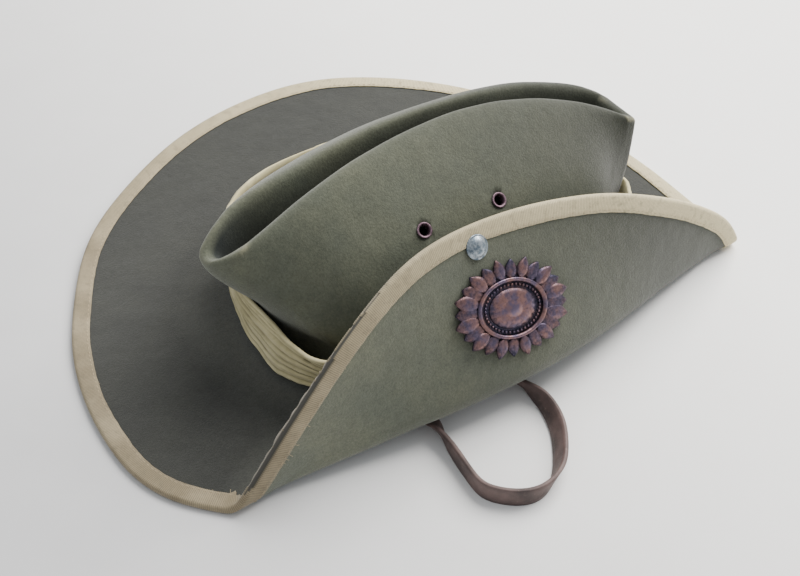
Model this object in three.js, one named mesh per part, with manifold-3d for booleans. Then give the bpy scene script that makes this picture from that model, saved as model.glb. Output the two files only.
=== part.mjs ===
// Slouch hat of creased fur felt, its bound brim turned up on the wearer's left side.
// Sizes are in millimetres. The front of the hat looks along -Y, the turned-up side is +X and +Z is up.
import * as THREE from 'three';
import { mergeVertices } from 'three/addons/utils/BufferGeometryUtils.js';
import Module from 'manifold-3d';

// Felt body
const FELT_THICKNESS = 2.2;
const HEAD_HALF_WIDTH = 84;
const HEAD_HALF_LENGTH = 100;
const HEAD_FRONT_SHARE = 0.945;
const HEAD_FRONT_SQUARENESS = 2.63;
const HEAD_BACK_SQUARENESS = 2.5;
const CROWN_HEIGHT = 108;
const CROWN_FOOT_RADIUS = 2.5;
const RIDGE_HALF_WIDTH = 13.5;
const RIDGE_SIDEWAYS = 24;
const RIDGE_BACK_SQUARENESS = 1.1;
const LIP_ROUNDNESS = 0.6;
const LIP_NOTCH = 4;
const FRONT_OVERHANG = 24;
const BACK_OVERHANG = 12;
const CREASE_DEPTH = 30;
const PINCH_DEPTH = 11;
const END_BLEND_START = 0.7;
const END_BLEND_FULL = 0.93;

// Brim
const BRIM_WIDTH = 92;
const FOLD_CLEARANCE = 13.8;
const FOLD_BULGE = 21.5;
const FOLD_RADIUS_MIDDLE = 8;
const FOLD_RADIUS_ENDS = 5.1;
const FLAP_LEAN_MIDDLE = 119.8;
const FLAP_LEAN_ENDS = 90.1;
const FOLD_LIFT = 12;
const FOLD_END_SHARE = 0.7;
const FAR_EDGE_LIFT = 9;
const FAR_LIFT_SHARE = 0.9;

// Binding tape round the brim's edge
const BINDING_WIDTH = 9.5;
const BINDING_THICKNESS = 0.8;

// Pleated band
const BAND_HEIGHT = 35;
const BAND_THICKNESS = 2.8;
const PLEAT_STEP = 1.2;
const PLEATS = 5;
const PLEAT_CREST = 0.25;
const BAND_FLARE = 15;
const BAND_FLARE_CURVE = 1.7;
const BAND_LEAN_SHARE = 0.7;

// Height at which the crown's wall starts to lean in over the band
const SHOULDER_ABOVE_BAND = 4;
const SHOULDER_HEIGHT = BAND_HEIGHT + SHOULDER_ABOVE_BAND;

// Hardware
const EYELET_TUBE_RADIUS = 2.9;
const EYELET_HOLE_RADIUS = 2.1;
const EYELET_FLANGE_RADIUS = 4.4;
const EYELET_FLANGE_THICKNESS = 0.8;
const EYELET_BACK_SHARE = 0.85;
const EYELET_RIM_SHARE = 0.9;
const EYELET_MOUTH_SHARE = 1.15;
const STUD_RADIUS = 6;
const STUD_DOME_HEIGHT = 2.6;
const STUD_POST_RADIUS = 1.8;
const STUD_RIM_THICKNESS = 0.7;
const STUD_SOCKET_SHARE = 0.8;
const STUD_ALONG = -20.8;
const STUD_FROM_EDGE = 10.1;
const BADGE_HALF_WIDTH = 30;
const BADGE_HALF_HEIGHT = 22.5;
const BADGE_PLATE_THICKNESS = 1;
const BADGE_RELIEF = 1.2;
const BADGE_SCALLOP = 0.05;
const BADGE_LEAVES = 12;
const BADGE_LEAF_FOOT = 0.72;
const BADGE_LEAF_TIP = 0.95;
const BADGE_TURN = 13;
const BADGE_ALONG = -12.2;
const BADGE_FROM_EDGE = 43.9;

// Leather strap
const STRAP_WIDTH = 10.5;
const STRAP_THICKNESS = 2;
const STRAP_REACH = 57.5;
const STRAP_SPREAD = 52;
const STRAP_ALONG = -6;
const STRAP_RISE = 30;
const STRAP_NEAR_ANGLE = -4;
const STRAP_FAR_ANGLE = 174;

// Gap left between pieces that touch on the real hat
const SEAT_GAP = 0.35;
const EYELET_SEAT_GAP = 0.4;
const STUD_SEAT_GAP = 0.4;
const BADGE_SEAT_GAP = 0.55;
const STRAP_SEAT_GAP = 1.1;
const BAND_SEAT_GAP = 0.95;

// How finely curves are cut into flat facets
const FOLD_ROWS = 4;
const FLAP_ROWS = 4;
const FLAP_COLUMNS = 20;
const OPEN_COLUMNS = 33;
const EYELET_SEGMENTS = 16;
const STUD_SEGMENTS = 20;
const STUD_DOME_ROWS = 5;
const STRAP_STEPS = 2;

const DEGREE = Math.PI / 180;
const FRONT = -Math.PI / 2;

// Width of the brim by direction from the crown's centre, as a share of BRIM_WIDTH
const brimWidths = [
  { angle: -180, width: 1.09 },
  { angle: -165, width: 1.049 },
  { angle: -150, width: 0.98 },
  { angle: -135, width: 0.95 },
  { angle: -120, width: 0.913 },
  { angle: -105, width: 0.964 },
  { angle: -90, width: 1.02 },
  { angle: -75, width: 1.034 },
  { angle: -60, width: 0.863 },
  { angle: -45, width: 0.88 },
  { angle: -30, width: 1.0 },
  { angle: -15, width: 1.134 },
  { angle: 0, width: 1.13 },
  { angle: 15, width: 1.02 },
  { angle: 30, width: 0.89 },
  { angle: 45, width: 0.83 },
  { angle: 60, width: 0.845 },
  { angle: 75, width: 0.73 },
  { angle: 90, width: 0.72 },
  { angle: 105, width: 0.74 },
  { angle: 120, width: 0.79 },
  { angle: 135, width: 0.89 },
  { angle: 150, width: 1.0 },
  { angle: 165, width: 1.09 },
];

// The crown's wall: how far it has gone from foot to ridge at each level, on its long sides, at its front
// and at its back. Level 0 is the foot, 1 the shoulder above the band and 2 the ridge.
const wallProfile = [
  { level: 0, side: 0, front: 0, back: 0 },
  { level: 0.2, side: 0.01, front: 0.01, back: 0.2 },
  { level: 0.52, side: 0.034, front: 0.04, back: 0.54 },
  { level: 0.74, side: 0.054, front: 0.09, back: 0.74 },
  { level: 1, side: 0.1, front: 0.24, back: 0.88 },
  { level: 1.22, side: 0.28, front: 0.49, back: 0.94 },
  { level: 1.48, side: 0.5, front: 0.74, back: 0.97 },
  { level: 1.7, side: 0.7, front: 0.9, back: 0.99 },
  { level: 1.88, side: 0.86, front: 0.98, back: 1 },
  { level: 2, side: 1, front: 1, back: 1 },
];

// The ridge from front (-1) to back (1): its centre as a share of RIDGE_SIDEWAYS, half width of
// RIDGE_HALF_WIDTH, and the height of its near and far sides as shares of CROWN_HEIGHT
const ridgeSections = [
  { along: -1, centre: -0.04, half: 0.6, near: 0.71, far: 0.73 },
  { along: -0.93, centre: 0.1, half: 0.8, near: 0.74, far: 0.77 },
  { along: -0.8, centre: 0.05, half: 1, near: 0.81, far: 0.83 },
  { along: -0.62, centre: 0.15, half: 0.94, near: 0.92, far: 0.9 },
  { along: -0.4, centre: 0.16, half: 0.84, near: 0.99, far: 0.95 },
  { along: -0.16, centre: 0.18, half: 0.68, near: 1.02, far: 0.99 },
  { along: 0.09, centre: 0.22, half: 0.56, near: 1.02, far: 0.99 },
  { along: 0.33, centre: 0.26, half: 0.66, near: 0.99, far: 0.96 },
  { along: 0.57, centre: 0.36, half: 0.84, near: 0.93, far: 0.91 },
  { along: 0.75, centre: 0.58, half: 0.9, near: 0.86, far: 0.86 },
  { along: 0.86, centre: 0.75, half: 1.04, near: 0.81, far: 0.82 },
  { along: 0.94, centre: 0.98, half: 1.12, near: 0.76, far: 0.79 },
  { along: 1, centre: 1.2, half: 0.8, near: 0.73, far: 0.74 },
];

// The crease inside the ridge: share of the ridge's half width, share of the depth, share of its length
const creaseRows = [
  { across: 0.66, depth: 0.08, length: 0.955 },
  { across: 0.44, depth: 0.36, length: 0.925 },
  { across: 0.28, depth: 0.76, length: 0.895 },
  { across: 0.16, depth: 1, length: 0.87 },
];

// Depth of the crease from front (-1) to back (1), as a share of CREASE_DEPTH
const creaseDepths = [
  { along: -1, depth: 0.25 },
  { along: -0.8, depth: 1 },
  { along: -0.6, depth: 1.05 },
  { along: -0.3, depth: 1.04 },
  { along: 0.2, depth: 1 },
  { along: 0.7, depth: 0.85 },
  { along: 0.85, depth: 0.65 },
  { along: 1, depth: 0.35 },
];

// Where the front quarters are pinched in: direction, reach to either side in degrees, share of PINCH_DEPTH
const pinches = [
  { side: 'near', angle: -66, spread: 24, share: 0.8 },
  { side: 'far', angle: -148, spread: 32, share: 1.1 },
];

// How much of a pinch there is at each level of the wall. The near quarter's felt hangs over its pinch.
const pinchProfile = [
  { level: 0, near: 0, far: 0 },
  { level: 0.2, near: 0.35, far: 0.1 },
  { level: 0.52, near: 1, far: 0.54 },
  { level: 0.74, near: 0.12, far: 0.84 },
  { level: 1, near: 0, far: 1 },
  { level: 1.22, near: 0, far: 0.7 },
  { level: 1.48, near: 0, far: 0.1 },
  { level: 1.7, near: 0, far: 0 },
];

// Where the band's top edge stands off: direction, reach to either side in degrees, share of BAND_FLARE
const flares = [
  { angle: -56, spread: 28, share: 1 },
  { angle: -148, spread: 32, share: 0.06 },
];

// Straight line through a table's rows at a given place
function readTable(rows, key, column, place) {
  const last = rows.length - 1;
  if (place <= rows[0][key]) return rows[0][column];
  if (place >= rows[last][key]) return rows[last][column];
  const index = rows.findIndex((row) => row[key] >= place);
  const before = rows[index - 1];
  const after = rows[index];
  const share = (place - before[key]) / (after[key] - before[key]);
  return before[column] + (after[column] - before[column]) * share;
}

// Smooth closed curve through a table whose rows are evenly spaced round the circle
function readRound(rows, column, angle) {
  const count = rows.length;
  const place = ((angle / DEGREE - rows[0].angle) / 360) * count;
  const index = Math.floor(place);
  const share = place - index;
  const value = (offset) => rows[(((index + offset) % count) + count) % count][column];
  const [a, b, c, d] = [value(-1), value(0), value(1), value(2)];
  const slope = (c - a) / 2;
  const nextSlope = (d - b) / 2;
  const bend = 3 * (c - b) - 2 * slope - nextSlope;
  const twist = 2 * (b - c) + slope + nextSlope;
  return b + share * (slope + share * (bend + share * twist));
}

// Outline of the crown's foot seen from above, a little shorter in front than behind
function headRadius(angle) {
  const inFront = Math.sin(angle) < 0;
  const squareness = inFront ? HEAD_FRONT_SQUARENESS : HEAD_BACK_SQUARENESS;
  const halfLength = HEAD_HALF_LENGTH * (inFront ? HEAD_FRONT_SHARE : 1);
  const across = Math.abs(Math.cos(angle)) / HEAD_HALF_WIDTH;
  const along = Math.abs(Math.sin(angle)) / halfLength;
  return (across ** squareness + along ** squareness) ** (-1 / squareness);
}

// Edge of the felt brim while it is still flat
function brimRadius(angle) {
  return headRadius(angle) + BRIM_WIDTH * readRound(brimWidths, 'width', angle);
}

function onCircle(angle, radius) {
  return new THREE.Vector2(Math.cos(angle) * radius, Math.sin(angle) * radius);
}

// The line along which the brim starts to turn up, and how it turns
const FOLD_MIDDLE = HEAD_HALF_WIDTH + FOLD_CLEARANCE;
const FOLD_HALF_LENGTH = HEAD_HALF_LENGTH + BRIM_WIDTH * FOLD_END_SHARE;

function foldShare(y) {
  return Math.sin((Math.PI / 2) * Math.min(1, Math.abs(y) / FOLD_HALF_LENGTH)) ** 2;
}

function foldLine(y) {
  return FOLD_MIDDLE - FOLD_BULGE * foldShare(y);
}

function foldRadius(y) {
  return FOLD_RADIUS_MIDDLE + (FOLD_RADIUS_ENDS - FOLD_RADIUS_MIDDLE) * foldShare(y);
}

function flapLean(y) {
  return (FLAP_LEAN_MIDDLE + (FLAP_LEAN_ENDS - FLAP_LEAN_MIDDLE) * foldShare(y)) * DEGREE;
}

// Height of the middle of the felt where the brim lies open
const BRIM_LEVEL = BINDING_THICKNESS + SEAT_GAP + FELT_THICKNESS / 2;
const FAR_LIFT_START = HEAD_HALF_WIDTH * FAR_LIFT_SHARE;

function brimLevel(x, y) {
  const towardsFold = THREE.MathUtils.smoothstep(x, 0, foldLine(y));
  const lift = FOLD_LIFT * towardsFold * (1 - foldShare(y));
  const farEdge = HEAD_HALF_WIDTH + BRIM_WIDTH;
  const beyond = Math.max(0, -x - FAR_LIFT_START) / (farEdge - FAR_LIFT_START);
  return BRIM_LEVEL + lift + FAR_EDGE_LIFT * beyond ** 2;
}

// A point of the flat brim moved to its place on the worn brim; offset is the distance towards its upper face
function brimPoint(x, y, offset) {
  const start = foldLine(y);
  const beyond = x - start;
  if (beyond <= 0) return new THREE.Vector3(x, y, brimLevel(x, y) + offset);
  const radius = foldRadius(y);
  const lean = flapLean(y);
  const turn = Math.min(beyond / radius, lean);
  const straight = Math.max(0, beyond - radius * lean);
  const out = radius * Math.sin(turn) + straight * Math.cos(lean) - Math.sin(turn) * offset;
  const up = radius * (1 - Math.cos(turn)) + straight * Math.sin(lean) + Math.cos(turn) * offset;
  return new THREE.Vector3(start + out, y, brimLevel(start, y) + up);
}

// Angle at which a closed outline reaches a given distance past the fold line, searched between two angles
function angleAtFold(radiusAt, beyond, flatAngle, foldedAngle) {
  let flat = flatAngle;
  let folded = foldedAngle;
  for (let step = 0; step < 50; step += 1) {
    const middle = (flat + folded) / 2;
    const point = onCircle(middle, radiusAt(middle));
    if (point.x - foldLine(point.y) > beyond) folded = middle;
    else flat = middle;
  }
  return (flat + folded) / 2;
}

// Directions of the hat's columns, in pairs: where a column meets the brim's edge and the tape's inner edge.
// They follow the fold's own lines at both corners, then run along the turned-up part and the open brim.
function brimColumns() {
  const insetRadius = (angle) => brimRadius(angle) - BINDING_WIDTH;
  const bend = FOLD_RADIUS_ENDS * flapLean(FOLD_HALF_LENGTH);
  const corner = (flatAngle) => {
    const pairs = [];
    for (let row = 0; row <= FOLD_ROWS; row += 1) {
      const beyond = (bend * row) / FOLD_ROWS;
      const outlines = [brimRadius, insetRadius];
      pairs.push(outlines.map((radiusAt) => angleAtFold(radiusAt, beyond, flatAngle, 0)));
    }
    return pairs;
  };
  const between = (from, to, count) => {
    const pairs = [];
    for (let index = 1; index < count; index += 1) {
      pairs.push(from.map((value, side) => value + ((to[side] - value) * index) / count));
    }
    return pairs;
  };
  const front = corner(FRONT);
  const back = corner(-FRONT).reverse();
  const frontAgain = front[0].map((value) => value + 2 * Math.PI);
  const turnedUp = [...front, ...between(front.at(-1), back[0], FLAP_COLUMNS), ...back];
  return { turnedUp, open: between(back.at(-1), frontAgain, OPEN_COLUMNS) };
}
const { turnedUp, open } = brimColumns();
const columns = [...turnedUp, ...open];
const columnAngles = columns.map(([, insetAngle]) => insetAngle);

// Flat places of a column at the felt's edge and at the tape's inner edge
function edgePlace([edgeAngle], out = 0) {
  return onCircle(edgeAngle, brimRadius(edgeAngle) + out);
}

function insetPlace([, insetAngle]) {
  return onCircle(insetAngle, brimRadius(insetAngle) - BINDING_WIDTH);
}

// Where a ray from the crown's centre meets the fold line, or the tape's inner edge if that comes first
function foldCrossing(angle) {
  let near = 0;
  let far = brimRadius(angle) - BINDING_WIDTH;
  for (let step = 0; step < 50; step += 1) {
    const middle = (near + far) / 2;
    const point = onCircle(angle, middle);
    if (point.x > foldLine(point.y)) far = middle;
    else near = middle;
  }
  return (near + far) / 2;
}

// Share of its whole length at which each point of a chain lies
function chainShares(points) {
  const lengths = points.map((point, index) => (index === 0 ? 0 : point.distanceTo(points[index - 1])));
  const total = lengths.reduce((sum, length) => sum + length);
  let run = 0;
  return lengths.map((length) => {
    run += length;
    return run / total;
  });
}

// Triangles that fill a ring, zipped across it from one of its points to another, wound as the ring is
function zippedCap(ring, start, end) {
  const count = ring.length;
  const reach = (end - start + count) % count;
  const ahead = Array.from({ length: reach + 1 }, (unused, step) => (start + step) % count);
  const behind = Array.from({ length: count - reach + 1 }, (unused, step) => (start - step + count) % count);
  const aheadShares = chainShares(ahead.map((index) => ring[index]));
  const behindShares = chainShares(behind.map((index) => ring[index]));
  const triangles = [];
  let left = 0;
  let right = 0;
  while (left < ahead.length - 1 || right < behind.length - 1) {
    const leftLags = left < ahead.length - 1 && aheadShares[left + 1] <= behindShares[right + 1];
    if (leftLags || right === behind.length - 1) {
      triangles.push([ahead[left], ahead[left + 1], behind[right]]);
      left += 1;
    } else {
      triangles.push([ahead[left], behind[right + 1], behind[right]]);
      right += 1;
    }
  }
  return triangles;
}

// Closed body from rings of equal length. Its first and last ring are capped, zipped between the two points
// that capEnds names, or joined to each other where it names none. Quads are cut along either slant.
function ringBody(rings, capEnds, otherSlant = false) {
  const positions = [];
  const faces = [];
  const keys = new Map();
  const indexOf = (point) => {
    const key = [point.x, point.y, point.z].map((value) => Math.round(value * 1e4)).join(' ');
    if (!keys.has(key)) {
      keys.set(key, positions.length / 3);
      positions.push(point.x, point.y, point.z);
    }
    return keys.get(key);
  };
  const addFace = (a, b, c) => {
    if (a !== b && b !== c && c !== a) faces.push(a, b, c);
  };
  const table = rings.map((ring) => ring.map(indexOf));
  const columns = rings[0].length;
  const bands = capEnds ? rings.length - 1 : rings.length;
  for (let row = 0; row < bands; row += 1) {
    const lower = table[row];
    const upper = table[(row + 1) % rings.length];
    for (let column = 0; column < columns; column += 1) {
      const next = (column + 1) % columns;
      addFace(lower[column], lower[next], otherSlant ? upper[column] : upper[next]);
      addFace(otherSlant ? lower[next] : lower[column], upper[next], upper[column]);
    }
  }
  if (capEnds) {
    for (const [a, b, c] of zippedCap(rings[0], ...capEnds)) addFace(table[0][a], table[0][c], table[0][b]);
    for (const [a, b, c] of zippedCap(rings.at(-1), ...capEnds)) {
      addFace(table.at(-1)[a], table.at(-1)[b], table.at(-1)[c]);
    }
  }
  const geometry = new THREE.BufferGeometry();
  geometry.setAttribute('position', new THREE.Float32BufferAttribute(positions, 3));
  geometry.setIndex(faces);
  return geometry;
}

// Ridge line of the crown above a column
function ridgePoint(angle, length = 1, across = 1, depth = 0) {
  const sine = Math.sin(angle);
  const cosine = Math.abs(Math.cos(angle));
  const along = length * (sine < 0 ? sine : Math.min(1, sine * RIDGE_BACK_SQUARENESS));
  const reach = sine < 0 ? HEAD_HALF_LENGTH + FRONT_OVERHANG : HEAD_HALF_LENGTH + BACK_OVERHANG;
  const centre = RIDGE_SIDEWAYS * readTable(ridgeSections, 'along', 'centre', along);
  const half = RIDGE_HALF_WIDTH * readTable(ridgeSections, 'along', 'half', along) * across;
  const corner = Math.sqrt(1 - RIDGE_BACK_SQUARENESS ** -2);
  const turned = Math.min(1, cosine / corner);
  const rounded = sine < 0 ? turned ** LIP_ROUNDNESS : Math.sin((Math.PI / 2) * turned);
  const side = Math.sign(Math.cos(angle)) * rounded;
  const near = readTable(ridgeSections, 'along', 'near', along);
  const far = readTable(ridgeSections, 'along', 'far', along);
  const notch = sine < 0 ? LIP_NOTCH * (1 - rounded ** 2) : 0;
  const height = CROWN_HEIGHT * (near * (1 + side) + far * (1 - side)) / 2 - notch;
  const sink = CREASE_DEPTH * readTable(creaseDepths, 'along', 'depth', along) * depth;
  return new THREE.Vector3(centre + side * half, along * reach, height - sink + BRIM_LEVEL);
}

// The crown's foot above a column, where its wall begins
function footPoint(angle) {
  const foot = onCircle(angle, headRadius(angle));
  const level = brimLevel(foot.x, foot.y) + FELT_THICKNESS / 2 + CROWN_FOOT_RADIUS;
  return new THREE.Vector3(foot.x, foot.y, level);
}

// Share of the way from foot to ridge at a level, blended between the sides and the ends of the crown
function wallInset(angle, level) {
  const sine = Math.sin(angle);
  const end = THREE.MathUtils.smoothstep(Math.abs(sine), END_BLEND_START, END_BLEND_FULL);
  const atSide = readTable(wallProfile, 'level', 'side', level);
  const atEnd = readTable(wallProfile, 'level', sine < 0 ? 'front' : 'back', level);
  return atSide + (atEnd - atSide) * end;
}

// Outer face of the crown's wall before the front quarters are pinched in
function plainWall(angle, level) {
  const foot = footPoint(angle);
  const ridge = ridgePoint(angle);
  const inset = wallInset(angle, level);
  const shoulder = foot.z + SHOULDER_HEIGHT;
  return new THREE.Vector3(
    foot.x + (ridge.x - foot.x) * inset,
    foot.y + (ridge.y - foot.y) * inset,
    level < 1 ? foot.z + SHOULDER_HEIGHT * level : shoulder + (ridge.z - shoulder) * (level - 1),
  );
}

// Sum of a table's rows in a direction, each fading out to its sides
function readAround(rows, angle, shareOf) {
  let sum = 0;
  for (const row of rows) {
    const turn = angle - row.angle * DEGREE;
    const fromMiddle = Math.abs(Math.atan2(Math.sin(turn), Math.cos(turn))) / (row.spread * DEGREE);
    sum += shareOf(row) * Math.cos((Math.min(1, fromMiddle) * Math.PI) / 2) ** 2;
  }
  return sum;
}

function movedOut(point, angle, distance) {
  return point.add(new THREE.Vector3(Math.cos(angle) * distance, Math.sin(angle) * distance, 0));
}

function wallPoint(angle, level) {
  const pinchAt = ({ share, side }) => share * readTable(pinchProfile, 'level', side, level);
  return movedOut(plainWall(angle, level), angle, -PINCH_DEPTH * readAround(pinches, angle, pinchAt));
}

// Face that the band follows: up from the crown's foot, out with the wall where that leans out, in by less
// than its lean elsewhere, and further out where its top edge stands off
function bandWall(angle, level) {
  const foot = footPoint(angle);
  const wall = plainWall(angle, level);
  const lean = (wall.x - foot.x) * Math.cos(angle) + (wall.y - foot.y) * Math.sin(angle);
  const rise = Math.max(0, (level * SHOULDER_HEIGHT) / BAND_HEIGHT);
  const standsOff = BAND_FLARE * readAround(flares, angle, ({ share }) => share) * rise ** BAND_FLARE_CURVE;
  return movedOut(foot.setZ(wall.z), angle, Math.max(lean, lean * BAND_LEAN_SHARE) + standsOff);
}

// Directions away from the felt at every point of the crown's outer rings
function outwardNormals(rings) {
  const columns = rings[0].length;
  const last = rings.length - 1;
  return rings.map((ring, row) => ring.map((point, column) => {
    const left = ring[(column + columns - 1) % columns];
    const right = ring[(column + 1) % columns];
    const below = rings[Math.max(0, row - 1)][column];
    const above = rings[Math.min(last, row + 1)][column];
    const along = new THREE.Vector3().subVectors(right, left);
    const upwards = new THREE.Vector3().subVectors(above, below);
    return new THREE.Vector3().crossVectors(along, upwards).normalize();
  }));
}

// Felt crown and brim in one piece, walked from the inside of the crease down, round the brim's edge and up
function feltBody() {
  const half = FELT_THICKNESS / 2;
  const outer = wallProfile.map((row) => columnAngles.map((angle) => wallPoint(angle, row.level)));
  for (const row of creaseRows) {
    outer.push(columnAngles.map((angle) => ridgePoint(angle, row.length, row.across, row.depth)));
  }
  const normals = outwardNormals(outer);
  const last = outer.length - 1;
  const inner = outer.map((ring, row) => ring.map((point, column) => {
    const normal = normals[row][column];
    const inward = point.clone().addScaledVector(normal, -FELT_THICKNESS);
    if (row === 0) {
      const foot = onCircle(columnAngles[column], headRadius(columnAngles[column]) - FELT_THICKNESS);
      inward.set(foot.x, foot.y, point.z);
    }
    if (row === last) inward.z -= FELT_THICKNESS;
    return inward;
  }));

  // Rounded corner between wall and brim, and the rings of the open brim, on one face
  const brimSide = (offset) => {
    const rings = [];
    const turnRadius = CROWN_FOOT_RADIUS + half - offset;
    rings.push(columnAngles.map((angle) => {
      const centre = headRadius(angle) + CROWN_FOOT_RADIUS;
      const place = onCircle(angle, centre - turnRadius * Math.SQRT1_2);
      const level = brimLevel(place.x, place.y) + half + CROWN_FOOT_RADIUS - turnRadius * Math.SQRT1_2;
      return new THREE.Vector3(place.x, place.y, level);
    }));
    for (const share of [0, 0.5, 1]) {
      rings.push(columns.map((column, index) => {
        const angle = columnAngles[index];
        const inside = headRadius(angle) + CROWN_FOOT_RADIUS;
        const edge = index < turnedUp.length ? foldCrossing(angle) : insetPlace(column).length();
        const point = onCircle(angle, inside + (edge - inside) * share);
        return brimPoint(point.x, point.y, offset);
      }));
    }
    for (let row = 1; row <= FOLD_ROWS + FLAP_ROWS; row += 1) {
      rings.push(columns.map((column, index) => {
        const inset = insetPlace(column);
        if (index >= turnedUp.length) return brimPoint(inset.x, inset.y, offset);
        const start = onCircle(columnAngles[index], foldCrossing(columnAngles[index]));
        const length = inset.x - foldLine(inset.y);
        const turning = foldRadius(start.y) * flapLean(start.y);
        const bend = Math.min(turning, (length * FOLD_ROWS) / (FOLD_ROWS + FLAP_ROWS));
        const beyond = row <= FOLD_ROWS
          ? (bend * row) / FOLD_ROWS
          : bend + ((length - bend) * (row - FOLD_ROWS)) / FLAP_ROWS;
        const place = start.lerp(inset, length > 0 ? beyond / length : 1);
        return brimPoint(place.x, place.y, offset);
      }));
    }
    rings.push(columns.map((column) => {
      const edge = edgePlace(column);
      return brimPoint(edge.x, edge.y, offset);
    }));
    return rings;
  };
  const under = brimSide(-half);
  const over = brimSide(half);
  const nearest = (direction) => {
    const across = columnAngles.map((angle) => Math.cos(angle - direction));
    return across.indexOf(Math.max(...across));
  };
  const creaseEnds = [nearest(FRONT), nearest(-FRONT)];
  return ringBody([...inner.reverse(), ...under, ...over.reverse(), ...outer], creaseEnds);
}

// Tape folded over the edge of the brim
function bindingBody() {
  const inside = FELT_THICKNESS / 2 + SEAT_GAP;
  const outside = inside + BINDING_THICKNESS;
  // Section of the tape: distance beyond the felt's edge, share of the way in, offset from mid felt
  const wrap = SEAT_GAP + BINDING_THICKNESS;
  const section = [
    { out: 0, inward: 1, offset: -inside },
    { out: 0, inward: 1, offset: -outside },
    { out: 0, inward: 0, offset: -outside },
    { out: wrap, inward: 0, offset: -inside * 0.5 },
    { out: wrap, inward: 0, offset: inside * 0.5 },
    { out: 0, inward: 0, offset: outside },
    { out: 0, inward: 1, offset: outside },
    { out: 0, inward: 1, offset: inside },
    { out: 0, inward: 0, offset: inside },
    { out: SEAT_GAP, inward: 0, offset: inside * 0.8 },
    { out: SEAT_GAP, inward: 0, offset: -inside * 0.8 },
    { out: 0, inward: 0, offset: -inside },
  ];
  const rings = section.map((row) => columns.map((column) => {
    const place = edgePlace(column, row.out).lerp(insetPlace(column), row.inward);
    return brimPoint(place.x, place.y, row.offset);
  }));
  return ringBody(rings, null, true);
}

// Frame of a place on a face: origin, outward direction and two directions along the face
function faceFrame(origin, along, upwards) {
  const outward = new THREE.Vector3().crossVectors(along, upwards).normalize();
  const side = along.clone().normalize();
  const up = new THREE.Vector3().crossVectors(outward, side);
  return new THREE.Matrix4().makeBasis(side, up, outward).setPosition(origin);
}

// Frame on a wall of the crown, which is given as a function of direction and level
function wallFrame(wall, angle, level) {
  const step = 0.02;
  const along = wall(angle + step, level).sub(wall(angle - step, level));
  const upwards = wall(angle, level + step).sub(wall(angle, Math.max(0, level - step)));
  return faceFrame(wall(angle, level), along, upwards);
}

// Point at a distance out from a wall of the crown
function faceAt(wall, angle, level, out) {
  return new THREE.Vector3(0, 0, out).applyMatrix4(wallFrame(wall, angle, level));
}

// Place on the outer face of the turned-up brim, given in the flat brim's own x and y
function flapFrame(x, y) {
  const half = FELT_THICKNESS / 2;
  const step = 4;
  const along = brimPoint(x, y + step, -half).sub(brimPoint(x, y - step, -half));
  const upwards = brimPoint(x + step, y, -half).sub(brimPoint(x - step, y, -half));
  return faceFrame(brimPoint(x, y, -half), along, upwards);
}

// Pleated band round the foot of the crown, standing off where the felt is pinched
function puggareeBody() {
  const bottom = 0.01;
  const top = BAND_HEIGHT / SHOULDER_HEIGHT;
  const between = wallProfile.map((row) => row.level).filter((level) => level > bottom && level < top);
  const inside = BAND_SEAT_GAP;
  const folds = inside + BAND_THICKNESS;
  const rings = [bottom, ...between, top].map((level) => ({ level, out: inside }));
  for (let pleat = PLEATS - 1; pleat >= 0; pleat -= 1) {
    const low = bottom + ((top - bottom) * pleat) / PLEATS;
    const high = bottom + ((top - bottom) * (pleat + 1)) / PLEATS;
    rings.push({ level: high, out: folds - PLEAT_STEP });
    rings.push({ level: low + (high - low) * PLEAT_CREST, out: folds });
  }
  rings.push({ level: bottom, out: folds - PLEAT_STEP });
  const ringAt = ({ level, out }) => columnAngles.map((angle) => faceAt(bandWall, angle, level, out));
  return ringBody(rings.map(ringAt).reverse(), null, true);
}

// Solid of revolution about a frame's outward direction
function turned(profile, segments, frame) {
  const points = profile.map(([radius, height]) => new THREE.Vector2(radius, height));
  const geometry = new THREE.LatheGeometry(points, segments);
  geometry.rotateX(Math.PI / 2);
  geometry.applyMatrix4(frame);
  return geometry;
}

// Vent eyelets: direction of their column and level on the wall
const eyelets = [
  { name: 'eyelet_front', angle: -17.6, level: 1.48 },
  { name: 'eyelet_back', angle: 6.2, level: 1.445 },
];

function eyeletFrame({ angle, level }) {
  return wallFrame(wallPoint, angle * DEGREE, level);
}

function eyeletBody(eyelet) {
  const inside = -FELT_THICKNESS - EYELET_SEAT_GAP;
  const profile = [
    [EYELET_HOLE_RADIUS, inside - EYELET_FLANGE_THICKNESS],
    [EYELET_FLANGE_RADIUS * EYELET_BACK_SHARE, inside - EYELET_FLANGE_THICKNESS],
    [EYELET_FLANGE_RADIUS * EYELET_BACK_SHARE, inside],
    [EYELET_TUBE_RADIUS, inside],
    [EYELET_TUBE_RADIUS, EYELET_SEAT_GAP],
    [EYELET_FLANGE_RADIUS, EYELET_SEAT_GAP],
    [EYELET_FLANGE_RADIUS * EYELET_RIM_SHARE, EYELET_SEAT_GAP + EYELET_FLANGE_THICKNESS],
    [EYELET_HOLE_RADIUS * EYELET_MOUTH_SHARE, EYELET_SEAT_GAP + EYELET_FLANGE_THICKNESS],
    [EYELET_HOLE_RADIUS, EYELET_SEAT_GAP + EYELET_FLANGE_THICKNESS / 2],
    [EYELET_HOLE_RADIUS, inside - EYELET_FLANGE_THICKNESS],
  ];
  return turned(profile, EYELET_SEGMENTS, eyeletFrame(eyelet));
}

// Edge of the flat brim straight out from a place along the hat
function brimEdgeX(y) {
  let angle = 0;
  for (let step = 0; step < 40; step += 1) angle = Math.asin(y / brimRadius(angle));
  return Math.cos(angle) * brimRadius(angle);
}

function studFrame() {
  return flapFrame(brimEdgeX(STUD_ALONG) - STUD_FROM_EDGE, STUD_ALONG);
}

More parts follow.
